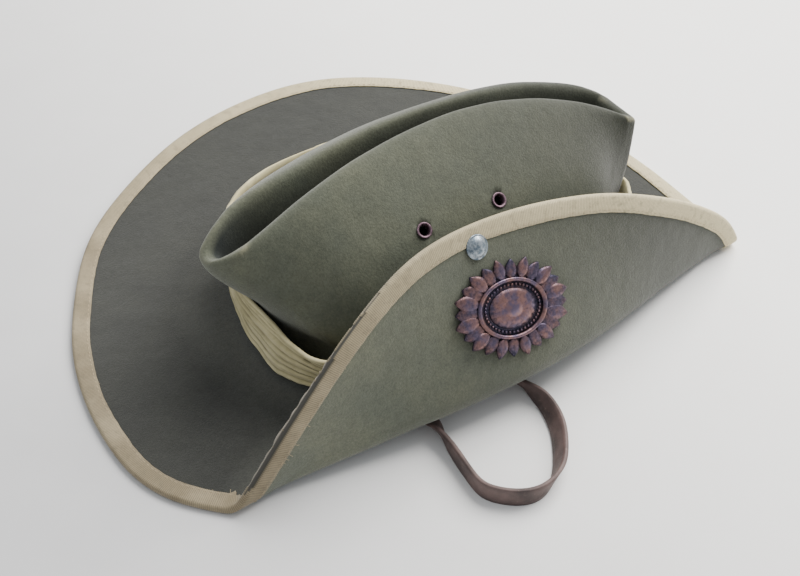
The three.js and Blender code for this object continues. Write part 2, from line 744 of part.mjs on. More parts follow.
function pressStudBody() {
  const seat = STUD_SEAT_GAP;
  const inside = -FELT_THICKNESS - STUD_SEAT_GAP;
  const profile = [
    [0, inside - STUD_RIM_THICKNESS],
    [STUD_RADIUS * STUD_SOCKET_SHARE, inside - STUD_RIM_THICKNESS],
    [STUD_RADIUS * STUD_SOCKET_SHARE, inside],
    [STUD_POST_RADIUS, inside],
    [STUD_POST_RADIUS, seat],
    [STUD_RADIUS, seat],
  ];
  const doming = STUD_DOME_HEIGHT - STUD_RIM_THICKNESS;
  for (let row = 0; row <= STUD_DOME_ROWS; row += 1) {
    const turn = ((row / STUD_DOME_ROWS) * Math.PI) / 2;
    const radius = row === STUD_DOME_ROWS ? 0 : STUD_RADIUS * Math.cos(turn);
    profile.push([radius, seat + STUD_RIM_THICKNESS + doming * Math.sin(turn)]);
  }
  return turned(profile, STUD_SEGMENTS, studFrame());
}

// Oval badge: leafy rim, raised ring and plain domed centre; radius and height as shares
const badgeProfile = [
  { radius: 0, height: 0 },
  { radius: 0.96, height: 0 },
  { radius: 1, height: 0.35 },
  { radius: 0.94, height: 0.6 },
  { radius: 0.74, height: 0.45 },
  { radius: 0.7, height: 0.9 },
  { radius: 0.6, height: 0.9 },
  { radius: 0.56, height: 0.45 },
  { radius: 0.46, height: 0.75 },
  { radius: 0.25, height: 1 },
  { radius: 0, height: 1.1 },
];

function badgeBody() {
  const frame = flapFrame(brimEdgeX(BADGE_ALONG) - BADGE_FROM_EDGE, BADGE_ALONG);
  const relief = BADGE_PLATE_THICKNESS + BADGE_RELIEF;
  const profile = badgeProfile.map((row) => [row.radius, row.height * relief + BADGE_SEAT_GAP]);
  const geometry = turned(profile, BADGE_LEAVES * 4, new THREE.Matrix4());
  const position = geometry.attributes.position;
  for (let index = 0; index < position.count; index += 1) {
    const x = position.getX(index);
    const y = position.getY(index);
    const reach = Math.hypot(x, y);
    const onLeaves = THREE.MathUtils.smoothstep(reach, BADGE_LEAF_FOOT, BADGE_LEAF_TIP);
    const leaf = 1 + BADGE_SCALLOP * onLeaves * Math.cos(BADGE_LEAVES * Math.atan2(y, x));
    position.setXY(index, x * leaf * BADGE_HALF_WIDTH, y * leaf * BADGE_HALF_HEIGHT);
  }
  geometry.rotateZ(-BADGE_TURN * DEGREE);
  return geometry.applyMatrix4(frame);
}

// The strap's loop in front of the fold, seen from above: distance out past the fold's middle as a share of
// STRAP_REACH and distance towards the front as a share of STRAP_SPREAD. Lean 0 stands on its edge, and 90 or
// -90 lies flat with what was its upper edge outside or inside the loop.
const strapLoop = [
  { out: -0.113, along: 0.029, lean: -62 },
  { out: -0.013, along: 0.029, lean: -30 },
  { out: 0.103, along: 0.019, lean: -5 },
  { out: 0.237, along: 0.01, lean: 18 },
  { out: 0.403, along: 0.048, lean: 30 },
  { out: 0.562, along: 0.125, lean: 33 },
  { out: 0.72, along: 0.25, lean: 32 },
  { out: 0.87, along: 0.404, lean: 28 },
  { out: 0.962, along: 0.577, lean: 15 },
  { out: 0.987, along: 0.75, lean: 4 },
  { out: 0.937, along: 0.904, lean: 0 },
  { out: 0.828, along: 1.038, lean: 0 },
  { out: 0.687, along: 1.125, lean: 0 },
  { out: 0.487, along: 1.106, lean: 0 },
  { out: 0.27, along: 1.067, lean: 0 },
  { out: 0.103, along: 1.038, lean: 12 },
  { out: 0.003, along: 1.019, lean: 30 },
  { out: -0.097, along: 1.0, lean: 54 },
  { out: -0.197, along: 0.99, lean: 76 },
  { out: -0.313, along: 0.981, lean: 90 },
];

// Heights at which an end of the strap lies against the inside of the crown, as shares of STRAP_RISE
const strapRise = [1, 0.75, 0.5, 0.3];

// Bend from the crown's inside wall down to the floor: distance from the wall, and height, as shares of
// STRAP_RISE
const strapBend = [
  { away: 0, height: 0.16 },
  { away: 0.07, height: 0.06 },
  { away: 0.17, height: 0 },
];

// Stations of one end of the strap from its sewn tip down to the floor, then outwards (1) or inwards (-1)
function strapEnd(angle, lean, outwards) {
  const heading = new THREE.Vector3(Math.cos(angle), Math.sin(angle), 0);
  const inside = FELT_THICKNESS + STRAP_SEAT_GAP + STRAP_THICKNESS / 2;
  const levelAt = (share) => (share * STRAP_RISE) / SHOULDER_HEIGHT;
  const against = strapRise.map((share) => faceAt(wallPoint, angle, levelAt(share), -inside));
  const bend = strapBend.map(({ away, height }) => {
    const place = onCircle(angle, headRadius(angle) - inside + outwards * away * STRAP_RISE);
    return new THREE.Vector3(place.x, place.y, height * STRAP_RISE + STRAP_THICKNESS / 2);
  });
  return [...against, ...bend].map((centre) => ({ centre, heading, lean }));
}

function strapBody() {
  const loop = strapLoop.map(({ out, along, lean }) => {
    const standing = Math.cos(lean * DEGREE) * STRAP_WIDTH;
    const lying = Math.abs(Math.sin(lean * DEGREE)) * STRAP_THICKNESS;
    const centre = new THREE.Vector3(
      FOLD_MIDDLE + out * STRAP_REACH,
      STRAP_ALONG - along * STRAP_SPREAD,
      (standing + lying) / 2,
    );
    return { centre, lean };
  });
  loop.forEach((station, index) => {
    const before = loop[Math.max(0, index - 1)].centre;
    const after = loop[Math.min(loop.length - 1, index + 1)].centre;
    station.heading = after.clone().sub(before).setZ(0).normalize();
  });
  const near = strapEnd(STRAP_NEAR_ANGLE * DEGREE, -90, 1);
  const farFoot = onCircle(STRAP_FAR_ANGLE * DEGREE, headRadius(STRAP_FAR_ANGLE * DEGREE));
  const across = new THREE.Vector3(farFoot.x, farFoot.y, 0).sub(loop.at(-1).centre).setZ(0).normalize();
  const far = strapEnd(STRAP_FAR_ANGLE * DEGREE, 90, -1).reverse();
  const middle = loop.at(-1).centre.clone().lerp(far[0].centre, 0.5);
  const stations = [...near, ...loop, { centre: middle, heading: across, lean: 90 }, ...far];

  // Smooth curves through the stations for place, heading and lean
  const through = (value) => new THREE.CatmullRomCurve3(stations.map(value), false, 'catmullrom', 0.5);
  const centres = through(({ centre }) => centre);
  const headings = through(({ heading }) => heading);
  const leans = through(({ lean }) => new THREE.Vector3(lean, 0, 0));
  const sections = [];
  const count = (stations.length - 1) * STRAP_STEPS;
  for (let index = 0; index <= count; index += 1) {
    const share = index / count;
    const lean = Math.min(90, Math.max(-90, leans.getPoint(share).x)) * DEGREE;
    const heading = headings.getPoint(share).normalize();
    const side = new THREE.Vector3(-heading.y, heading.x, 0);
    const width = new THREE.Vector3(0, 0, Math.cos(lean)).addScaledVector(side, Math.sin(lean));
    const thick = new THREE.Vector3().crossVectors(centres.getTangent(share), width).normalize();
    const centre = centres.getPoint(share);
    const section = [[-1, -1], [1, -1], [1, 1], [-1, 1]].map(([wide, deep]) => centre.clone()
      .addScaledVector(width, (wide * STRAP_WIDTH) / 2)
      .addScaledVector(thick, (deep * STRAP_THICKNESS) / 2));
    const sunk = Math.min(0, ...section.map((corner) => corner.z));
    section.forEach((corner) => corner.setZ(corner.z - sunk));
    sections.push(section);
  }
  const oppositeCorners = [0, 2];
  return ringBody(sections, oppositeCorners);
}

// Holes through the felt for the eyelets and the stud's post
const wasm = await Module();
wasm.setup();

function asManifold(geometry) {
  const plain = geometry.clone();
  plain.deleteAttribute('normal');
  plain.deleteAttribute('uv');
  const merged = mergeVertices(plain, 1e-4);
  const mesh = new wasm.Mesh({
    numProp: 3,
    vertProperties: new Float32Array(merged.attributes.position.array),
    triVerts: new Uint32Array(merged.index.array),
  });
  return new wasm.Manifold(mesh);
}

function fromManifold(solid) {
  const mesh = solid.getMesh();
  const geometry = new THREE.BufferGeometry();
  geometry.setAttribute('position', new THREE.BufferAttribute(new Float32Array(mesh.vertProperties), 3));
  geometry.setIndex(Array.from(mesh.triVerts));
  return geometry;
}

function holeCutter(radius, frame) {
  const geometry = new THREE.CylinderGeometry(radius, radius, FELT_THICKNESS * 4, EYELET_SEGMENTS);
  geometry.rotateX(Math.PI / 2);
  return geometry.applyMatrix4(frame);
}

function studHole() {
  return asManifold(holeCutter(STUD_POST_RADIUS + SEAT_GAP, studFrame()));
}

function piercedFelt() {
  let felt = asManifold(feltBody());
  for (const eyelet of eyelets) {
    felt = felt.subtract(asManifold(holeCutter(EYELET_TUBE_RADIUS + SEAT_GAP, eyeletFrame(eyelet))));
  }
  felt = felt.subtract(studHole());
  return fromManifold(felt);
}

// The stud's dome sits in a round notch of the tape
function notchedBinding() {
  const notch = holeCutter(STUD_RADIUS + SEAT_GAP, studFrame());
  return fromManifold(asManifold(bindingBody()).subtract(asManifold(notch)));
}

const finishes = {
  felt: { color: 0x5c6052, roughness: 0.95, metalness: 0 },
  tape: { color: 0xa39a82, roughness: 0.9, metalness: 0 },
  cotton: { color: 0x9f9776, roughness: 0.9, metalness: 0 },
  eyelet: { color: 0x4f4048, roughness: 0.4, metalness: 0.9 },
  stud: { color: 0x8f98a3, roughness: 0.35, metalness: 0.9 },
  badge: { color: 0x5e4a4a, roughness: 0.4, metalness: 0.9 },
  leather: { color: 0x43332c, roughness: 0.55, metalness: 0 },
};

const pieces = [
  { name: 'felt_body', finish: 'felt', geometry: piercedFelt() },
  { name: 'brim_binding', finish: 'tape', geometry: notchedBinding() },
  { name: 'puggaree', finish: 'cotton', geometry: puggareeBody() },
  ...eyelets.map((eyelet) => ({ name: eyelet.name, finish: 'eyelet', geometry: eyeletBody(eyelet) })),
  { name: 'press_stud', finish: 'stud', geometry: pressStudBody() },
  { name: 'badge', finish: 'badge', geometry: badgeBody() },
  { name: 'chin_strap', finish: 'leather', geometry: strapBody() },
];

// The hat stands centred over the origin with its lowest point on the floor
const hat = new THREE.Group();
hat.name = 'slouch_hat';
const box = new THREE.Box3();
for (const piece of pieces) {
  piece.geometry.computeBoundingBox();
  box.union(piece.geometry.boundingBox);
}
const centre = box.getCenter(new THREE.Vector3());
for (const { name, finish, geometry } of pieces) {
  geometry.translate(-centre.x, -centre.y, -box.min.z);
  const material = new THREE.MeshStandardMaterial(finishes[finish]);
  material.name = finish;
  const mesh = new THREE.Mesh(geometry, material);
  mesh.name = name;
  hat.add(mesh);
}

export default hat;
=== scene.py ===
# %% [markdown]
# # A felt slouch hat with one side of its brim turned up
#
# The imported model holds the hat's solids at their real size. This lesson dresses them: each piece
# gets a finer surface and a finish that is made from nodes alone. A cell of text comes before each
# step and says what the real thing is, how it could be made, and why this way was chosen.
# All lengths are in metres, so a value in millimetres is multiplied by MM.

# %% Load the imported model
import heapq
import math
import random

import bmesh
import bpy
import numpy as np
from mathutils import Matrix, Vector, noise
from mathutils.bvhtree import BVHTree


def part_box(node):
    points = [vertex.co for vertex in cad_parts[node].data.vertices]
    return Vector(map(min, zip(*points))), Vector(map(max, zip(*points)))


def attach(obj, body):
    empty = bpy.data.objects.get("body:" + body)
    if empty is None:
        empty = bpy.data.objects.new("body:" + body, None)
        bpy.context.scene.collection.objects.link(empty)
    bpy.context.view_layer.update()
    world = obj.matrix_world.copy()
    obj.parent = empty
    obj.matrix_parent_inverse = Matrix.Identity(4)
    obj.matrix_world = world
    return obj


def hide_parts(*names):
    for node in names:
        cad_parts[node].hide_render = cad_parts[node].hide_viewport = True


MM = 0.001
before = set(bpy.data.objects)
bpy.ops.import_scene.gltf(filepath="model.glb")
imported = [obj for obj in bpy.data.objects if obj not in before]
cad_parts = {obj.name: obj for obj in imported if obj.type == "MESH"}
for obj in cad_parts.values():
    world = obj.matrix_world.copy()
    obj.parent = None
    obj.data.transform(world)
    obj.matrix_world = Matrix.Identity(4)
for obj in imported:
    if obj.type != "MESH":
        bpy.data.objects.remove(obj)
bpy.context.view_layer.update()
print("solids:", ", ".join(sorted(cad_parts)))

# %% [markdown]
# ## The camera
#
# The hat was seen from a little in front of its left side, from above. A camera could be placed by
# eye, but then no edge lands where it should. Here its place, its direction and its focal length
# were worked out once from the outline of the brim, and the lens follows from the width of the
# sensor.

# %% Set up the camera
PICTURE_WIDTH = 800
FOCAL_LENGTH_IN_PIXELS = 1300
SENSOR_WIDTH = 36
CAMERA_PLACE = Vector((0.438195, -0.299339, 0.46794))
CAMERA_FORWARD = Vector((-0.6060, 0.4281, -0.6704)).normalized()
CAMERA_UP = Vector((-0.5414, 0.3956, 0.7419))

camera_right = CAMERA_FORWARD.cross(CAMERA_UP).normalized()
camera_up = camera_right.cross(CAMERA_FORWARD)
camera_data = bpy.data.cameras.new("camera")
camera_data.sensor_width = SENSOR_WIDTH
camera_data.lens = SENSOR_WIDTH * FOCAL_LENGTH_IN_PIXELS / PICTURE_WIDTH
camera = bpy.data.objects.new("camera", camera_data)
camera_turn = Matrix((camera_right, camera_up, -CAMERA_FORWARD)).transposed().to_4x4()
camera.matrix_world = Matrix.Translation(CAMERA_PLACE) @ camera_turn
bpy.context.scene.collection.objects.link(camera)
bpy.context.scene.camera = camera
print("lens:", round(camera_data.lens, 2), "mm")

# %% [markdown]
# ## Small helpers for shapes
#
# Every piece ends as a mesh whose object sits at the origin. `as_piece` makes that object from a
# bmesh, `merged_copy` joins the loose triangles of a solid into one skin, so that neighbouring
# faces know each other, and `subdivide_smoothly` rounds a piece.

# %% Helpers for shapes
MERGE_DISTANCE = 1e-6
PAIR_FACE_ANGLE = math.radians(40)
PAIR_SHAPE_ANGLE = math.radians(50)


def as_piece(name, skin):
    """A linked object with the bmesh's faces, at the origin."""
    mesh = bpy.data.meshes.new(name)
    skin.to_mesh(mesh)
    skin.free()
    mesh.polygons.foreach_set("use_smooth", [True] * len(mesh.polygons))
    piece = bpy.data.objects.new(name, mesh)
    bpy.context.scene.collection.objects.link(piece)
    return piece


def merged_copy(node_name):
    """A bmesh of a solid's surface, its triangles joined and paired into four-sided faces."""
    skin = bmesh.new()
    skin.from_mesh(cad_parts[node_name].data)
    bmesh.ops.remove_doubles(skin, verts=skin.verts, dist=MERGE_DISTANCE)
    bmesh.ops.join_triangles(
        skin, faces=skin.faces,
        angle_face_threshold=PAIR_FACE_ANGLE, angle_shape_threshold=PAIR_SHAPE_ANGLE,
    )
    return skin


def sealed(skin, distance=MERGE_DISTANCE):
    """The bmesh with its double points merged and its faces turned outwards."""
    bmesh.ops.remove_doubles(skin, verts=skin.verts, dist=distance)
    bmesh.ops.recalc_face_normals(skin, faces=skin.faces)
    return skin


def subdivide_smoothly(piece, levels=2):
    """Rounds the piece by a Subdivision Surface and applies it."""
    rounding = piece.modifiers.new("rounding", "SUBSURF")
    rounding.levels = levels
    rounding.render_levels = levels
    graph = bpy.context.evaluated_depsgraph_get()
    mesh = bpy.data.meshes.new_from_object(piece.evaluated_get(graph))
    piece.modifiers.clear()
    piece.data = mesh
    mesh.name = piece.name
    return piece


def count(piece):
    """The piece's triangles, for the printed lines."""
    piece.data.calc_loop_triangles()
    return len(piece.data.loop_triangles)


# %% [markdown]
# ## Small helpers for finishes
#
# A finish is a Principled shader with a few nodes before it. `add_node` makes a node, sets its
# options, and fills its sockets with numbers or with links, and `paint` fills those of the shader.
# Colours are written as the eye reads them on a screen, from 0 to 255, and `tone` turns them into
# the linear light that Blender uses.

# %% Helpers for finishes
def tone(red, green, blue):
    """A screen colour as linear light by the sRGB curve, with full opacity."""
    shares = [value / 255 for value in (red, green, blue)]
    light = [s / 12.92 if s <= 0.04045 else ((s + 0.055) / 1.055) ** 2.4 for s in shares]
    return (*light, 1)


def fill(node, sockets):
    """Sets a node's sockets to values, or links them to what other nodes give."""
    for socket, value in sockets.items():
        if isinstance(value, bpy.types.NodeSocket):
            node.id_data.links.new(value, node.inputs[socket])
        else:
            node.inputs[socket].default_value = value
    return node


def add_node(tree, kind, sockets, **options):
    """A new node of a kind, with its options set and its sockets filled."""
    node = tree.nodes.new(kind)
    for option, value in options.items():
        setattr(node, option, value)
    return fill(node, sockets)


def new_finish(name):
    """A material with a Principled shader."""
    finish = bpy.data.materials.new(name)
    finish.use_nodes = True
    return finish


def paint(finish, sockets):
    """Fills the sockets of the finish's shader."""
    fill(finish.node_tree.nodes["Principled BSDF"], sockets)


def object_place(finish):
    """The surface's own place, in metres."""
    return add_node(finish.node_tree, "ShaderNodeTexCoord", {}).outputs["Object"]


def speckle(finish, scale, detail=3, roughness=0.55):
    """A cloudy pattern over the surface, of about 1/scale metres."""
    place = object_place(finish)
    sockets = {"Vector": place, "Scale": scale, "Detail": detail, "Roughness": roughness}
    return add_node(finish.node_tree, "ShaderNodeTexNoise", sockets).outputs["Fac"]


def own_value(finish, name):
    """A value that the mesh carries at each point."""
    tree = finish.node_tree
    return add_node(tree, "ShaderNodeAttribute", {}, attribute_name=name).outputs["Fac"]


def split(place):
    """The three parts of a place."""
    return add_node(place.id_data, "ShaderNodeSeparateXYZ", {"Vector": place}).outputs


def eased(value, low, high, start=0.0, end=1.0):
    """A value stretched so that low gives start and high gives end."""
    sockets = {"Value": value, 1: low, 2: high, 3: start, 4: end}
    return add_node(value.id_data, "ShaderNodeMapRange", sockets).outputs["Result"]


def worked(way, first, second):
    """The result of a small sum on two values."""
    sockets = {0: first, 1: second}
    return add_node(first.id_data, "ShaderNodeMath", sockets, operation=way).outputs[0]


def mixed(share, first, second):
    """Two colours mixed by a share."""
    sockets = {0: share, 6: first, 7: second}
    return add_node(share.id_data, "ShaderNodeMix", sockets, data_type="RGBA").outputs[2]


def dimmed(colour, shares):
    """A colour made darker or paler by the share at each point."""
    sockets = {0: 1.0, 6: colour, 7: shares}
    options = {"data_type": "RGBA", "blend_type": "MULTIPLY"}
    return add_node(colour.id_data, "ShaderNodeMix", sockets, **options).outputs[2]


def mottled(pattern, deep, light, low=0.35, high=0.65):
    """A deep and a light tone, spread by a pattern."""
    return mixed(eased(pattern, low, high), deep, light)


def striped(finish, lines):
    """Fine stripes along the UV map, from -1 to 1, as many as asked for."""
    uv = add_node(finish.node_tree, "ShaderNodeUVMap", {}, uv_map="along_and_across").outputs["UV"]
    return worked("COSINE", worked("MULTIPLY", split(uv)["X"], 2 * math.pi * lines), 0.0)


def towards_back(finish, low, high):
    """A share that grows from 0 to 1 towards the hat's back, between two values of Y."""
    return eased(split(object_place(finish))["Y"], low, high)


def raised(height, depth, before=None):
    """A bump of a depth in metres, on top of an earlier one."""
    sockets = {"Height": height, "Distance": depth, "Strength": 1.0}
    if before is not None:
        sockets["Normal"] = before
    return add_node(height.id_data, "ShaderNodeBump", sockets).outputs["Normal"]


def dress(piece, finish):
    """Gives the piece its finish and lets it ride with the hat."""
    piece.data.materials.clear()
    piece.data.materials.append(finish)
    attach(piece, "root")


# %% [markdown]
# ## The floor and the light
#
# The hat lies on a plain pale surface in soft daylight. Painted light makes the surface paler
# behind the hat, and painted shade makes it darker in front of it. A large area light high behind
# the back of the brim gives the soft shadow under the turned-up flap, and an even pale sky fills
# the rest.

# %% Floor, sky and lamp
FLOOR_HALF_SIZE = 2.5
FLOOR_PAINTED_SHADE_TONES = (tone(182, 182, 184), tone(192, 192, 194))
FLOOR_PAINTED_LIGHT_TONES = (tone(252, 250, 246), tone(255, 255, 252))
FLOOR_CHANGE = (-0.32, 0.16)
SKY_TONE = (0.93, 0.96, 1.0, 1)
SKY_STRENGTH = 0.74
LAMP_PLACE = Vector((-0.15, 0.95, 1.15))
LAMP_SIZE = 1.3
LAMP_POWER = 66
LAMP_TONE = (1.0, 0.98, 0.95)

floor_skin = bmesh.new()
bmesh.ops.create_grid(floor_skin, x_segments=1, y_segments=1, size=FLOOR_HALF_SIZE)
floor = as_piece("floor", floor_skin)
pale_floor = new_finish("pale_floor")
floor_cloud = speckle(pale_floor, 35, 5)
# The floor's tone is painted shade in front of the hat and painted light behind it
floor_painted_shade = mixed(floor_cloud, *FLOOR_PAINTED_SHADE_TONES)
floor_painted_light = mixed(floor_cloud, *FLOOR_PAINTED_LIGHT_TONES)
floor_tone = mixed(towards_back(pale_floor, *FLOOR_CHANGE), floor_painted_shade, floor_painted_light)
paint(pale_floor, {"Base Color": floor_tone, "Roughness": 0.9})
floor.data.materials.append(pale_floor)

sky = bpy.data.worlds.new("sky")
sky.use_nodes = True
fill(sky.node_tree.nodes["Background"], {"Color": SKY_TONE, "Strength": SKY_STRENGTH})
bpy.context.scene.world = sky

lamp_data = bpy.data.lights.new("window_light", "AREA")
lamp_data.size = LAMP_SIZE
lamp_data.energy = LAMP_POWER
lamp_data.color = LAMP_TONE
lamp = bpy.data.objects.new("window_light", lamp_data)
lamp.location = LAMP_PLACE
lamp.rotation_euler = (-LAMP_PLACE).to_track_quat("-Z", "Y").to_euler()
bpy.context.scene.collection.objects.link(lamp)

# %% [markdown]
# ## The felt body
#
# Crown and brim of the real hat are one cone of fur felt, steamed and pressed over a block. The
# solid has the right form in flat facets. Sculpting a new one would risk leaving its size, so the
# solid's skin is copied and rounded by a Subdivision Surface. The brim's cut edge is creased, so
# that it stays square and the tape can be laid round it, and so are the rims of the holes.

# %% Round the felt
SHARP_ANGLE = math.radians(60)
HOLE_ROUND = 40 * MM


def sharp_chains(skin):
    """The chains of sharp edges, each as a list of vertices in order, the longest first."""
    sharp = {edge.index: edge for edge in skin.edges if edge.calc_face_angle(0) > SHARP_ANGLE}
    chains = []
    while sharp:
        edge = sharp.pop(min(sharp))
        chain = [edge.verts[0], edge.verts[1]]
        while True:
            ahead = [link.index for link in chain[-1].link_edges if link.index in sharp]
            if not ahead:
                break
            chain.append(sharp.pop(min(ahead)).other_vert(chain[-1]))
        chains.append(chain)
    return sorted(chains, key=chain_length, reverse=True)


def chain_length(chain):
    """The length of a chain of vertices."""
    return sum((there.co - here.co).length for here, there in zip(chain, chain[1:]))


def rim_and_holes(skin):
    """The two long chains of the brim's cut edge, and the short closed ones round the holes."""
    skin.edges.index_update()
    chains = sharp_chains(skin)
    closed = [chain for chain in chains if chain[0] is chain[-1]]
    return chains[:2], [chain for chain in closed if chain_length(chain) < HOLE_ROUND]


felt_skin = merged_copy("felt_body")
crease_layer = felt_skin.edges.layers.float.new("crease_edge")
rim_chains, hole_chains = rim_and_holes(felt_skin)
for chain in rim_chains + hole_chains:
    for here, there in zip(chain, chain[1:]):
        felt_skin.edges.get((here, there))[crease_layer] = 1.0
felt = subdivide_smoothly(as_piece("hat_felt", felt_skin))
print("felt:", count(felt), "triangles, with", len(hole_chains) // 2, "holes")

# %% [markdown]
# ## The brim's edge as a path
#
# The tape, its stitches and the loose threads all follow the edge of the brim. The rounded felt
# has two long sharp chains there, one on the upper face and one below. Halfway between them runs
# the path, and at each of its points three directions say which way is along, out and up.

# %% Find the path of the brim's edge
HEADING_STEP = 0.05

edge_skin = bmesh.new()
edge_skin.from_mesh(felt.data)
rim_chains, hole_chains = rim_and_holes(edge_skin)
rims = [[vertex.index for vertex in chain[:-1]] for chain in rim_chains]
hole_indices = {vertex.index for chain in hole_chains for vertex in chain}
edge_skin.free()
felt_points = [vertex.co.copy() for vertex in felt.data.vertices]


def far_height(rim):
    """A rim's height at the brim's far side."""
    return felt_points[min(rim, key=lambda index: felt_points[index].x)].z


# The rim of the upper face is the higher one at the far side, where the brim lies open
upper_rim, lower_rim = sorted(rims, key=far_height, reverse=True)
lower_points = [felt_points[index] for index in lower_rim]
edge_path = []
half_felt = 0.0
for point in (felt_points[index] for index in upper_rim):
    partner = min(lower_points, key=lambda other: (other - point).length_squared)
    middle = (point + partner) / 2
    half_felt += (point - middle).length
    edge_path.append((middle, (point - partner).normalized()))
half_felt /= len(edge_path)

# The path starts at the brim's back and runs round its far side to the front
start = max(range(len(edge_path)), key=lambda index: edge_path[index][0].y)
edge_path = edge_path[start:] + edge_path[:start]
if edge_path[1][0].x > edge_path[0][0].x:
    edge_path = edge_path[:1] + edge_path[:0:-1]
edge_points, edge_ups = zip(*edge_path)
edge_stops = [0.0]
for here, there in zip(edge_points, edge_points[1:] + edge_points[:1]):
    edge_stops.append(edge_stops[-1] + (there - here).length)
edge_length = edge_stops[-1]


def smooth_between(a, b, c, d, share):
    """A point between b and c on the smooth curve through all four."""
    squared = share * share
    cubed = squared * share
    return 0.5 * (
        2 * b + (c - a) * share
        + (2 * a - 5 * b + 4 * c - d) * squared
        + (3 * b - a - 3 * c + d) * cubed
    )


def edge_at(distance):
    """The point, and the directions along, out and up, at a distance along the edge."""
    distance %= edge_length
    index = int(np.searchsorted(edge_stops, distance, side="right")) - 1
    share = (distance - edge_stops[index]) / (edge_stops[index + 1] - edge_stops[index])
    four = [(index + step) % len(edge_points) for step in (-1, 0, 1, 2)]
    points = [edge_points[i] for i in four]
    up = smooth_between(*(edge_ups[i] for i in four), share).normalized()
    ahead = smooth_between(*points, min(1, share + HEADING_STEP))
    behind = smooth_between(*points, max(0, share - HEADING_STEP))
    along = (ahead - behind).normalized()
    out = along.cross(up).normalized()
    return smooth_between(*points, share), along, out, out.cross(along).normalized()


thickness = round(2 * half_felt / MM, 2)
print("brim edge:", round(edge_length, 3), "m round; felt there:", thickness, "mm thick")

# %% [markdown]
# ## The felt's finish
#
# Worn fur felt isn't one colour. The fur was dyed in the mass and has faded in clouds, the crown
# has gone greener than the brim's smooth upper face, ridges are rubbed pale and the hollows get
# painted shade. A pattern alone can't know where a ridge is, so the mesh carries values at each
# point: whether it is on the brim's upper face, how much it is a ridge, and how much a hollow. A
# ridge stands out from the middle of its neighbours, and a hollow lies behind it.

# %% Mark the brim's upper face, the ridges and the hollows
BRIM_FACE_WIDTH = 94 * MM
BRIM_FACE_FADE = 5 * MM
BEND_SMOOTHINGS = 2
HOLE_MARGIN = 9 * MM
HOLE_BEND_SHARE = 0.5

neighbours = [[] for _ in felt.data.vertices]
for a, b in (e.vertices for e in felt.data.edges):
    neighbours[a].append(b)
    neighbours[b].append(a)
felt_normals = [vertex.normal.copy() for vertex in felt.data.vertices]


def distances_from(starts, walls, reach):
    """The distance over the surface from the start points, not passing the wall points."""
    found = {index: 0.0 for index in starts}
    queue = [(0.0, index) for index in starts]
    heapq.heapify(queue)
    while queue:
        far, index = heapq.heappop(queue)
        if far > found[index] or far > reach:
            continue
        for other in neighbours[index]:
            if other in walls:
                continue
            total = far + (felt_points[other] - felt_points[index]).length
            if total < found.get(other, reach):
                found[other] = total
                heapq.heappush(queue, (total, other))
    return found


def smoothed(values, times):
    """One value for each point of the felt, mixed with its neighbours' a few times."""
    for _ in range(times):
        values = [
            (values[index] + sum(values[other] for other in others)) / (1 + len(others))
            for index, others in enumerate(neighbours)
        ]
    return values


def carry(piece, name, values):
    """Stores one value at each point of the piece's mesh."""
    layer = piece.data.attributes.new(name, "FLOAT", "POINT")
    layer.data.foreach_set("value", values)


from_edge = distances_from(upper_rim, set(lower_rim) | hole_indices, BRIM_FACE_WIDTH)
brim_face = [0.0] * len(felt_points)
for index, far in from_edge.items():
    brim_face[index] = min(1.0, (BRIM_FACE_WIDTH - far) / BRIM_FACE_FADE)

bend = []
for index, others in enumerate(neighbours):
    middle = sum((felt_points[other] for other in others), Vector()) / len(others)
    reach = sum((felt_points[other] - felt_points[index]).length for other in others) / len(others)
    bend.append((felt_points[index] - middle).dot(felt_normals[index]) / reach**2 * MM)
bend = smoothed(bend, BEND_SMOOTHINGS)
for index, far in distances_from(hole_indices, set(), HOLE_MARGIN).items():
    bend[index] *= far / HOLE_MARGIN * HOLE_BEND_SHARE
carry(felt, "brim_face", brim_face)
carry(felt, "ridge", [max(0.0, value) for value in bend])
carry(felt, "hollow", [max(0.0, -value) for value in bend])
print("ridge values up to", round(max(bend), 3), "and hollow values up to", round(-min(bend), 3))

# %% [markdown]
# ### How shut in the felt is
#
# Little light gets into the deep creases, so they get painted shade, and on the brim close to the
# crown painted light lifts the crown's shadow. So 18 rays look out from each point, and the share
# of them that meet felt within 45 mm says how shut in it is. That value is carried as by_crown on
# the brim's upper face and as shut_in elsewhere.

# %% Look out from each point of the felt
LOOK_REACH = 45 * MM
LOOK_START = 0.5 * MM
LOOK_ROWS = ((math.radians(20), 9), (math.radians(48), 6), (math.radians(75), 3))
SHUT_SMOOTHINGS = 3

felt_rays = BVHTree.FromObject(felt, bpy.context.evaluated_depsgraph_get())
look_ways = [
    Vector((math.cos(turn) * math.cos(rise), math.sin(turn) * math.cos(rise), math.sin(rise)))
    for rise, ways in LOOK_ROWS
    for turn in (2 * math.pi * way / ways for way in range(ways))
]


def share_met(point, normal):
    """The share of the rays from a point that meet the felt close by."""
    lean = Vector((0, 0, 1)).rotation_difference(normal)
    eye = point + normal * LOOK_START
    hits = (felt_rays.ray_cast(eye, lean @ way, LOOK_REACH)[0] for way in look_ways)
    return sum(hit is not None for hit in hits) / len(look_ways)


shut_in = smoothed(list(map(share_met, felt_points, felt_normals)), SHUT_SMOOTHINGS)
carry(felt, "shut_in", [value * (1 - face) for value, face in zip(shut_in, brim_face)])
carry(felt, "by_crown", [value * face for value, face in zip(shut_in, brim_face)])
print("share of rays met, at most:", round(max(shut_in), 2))

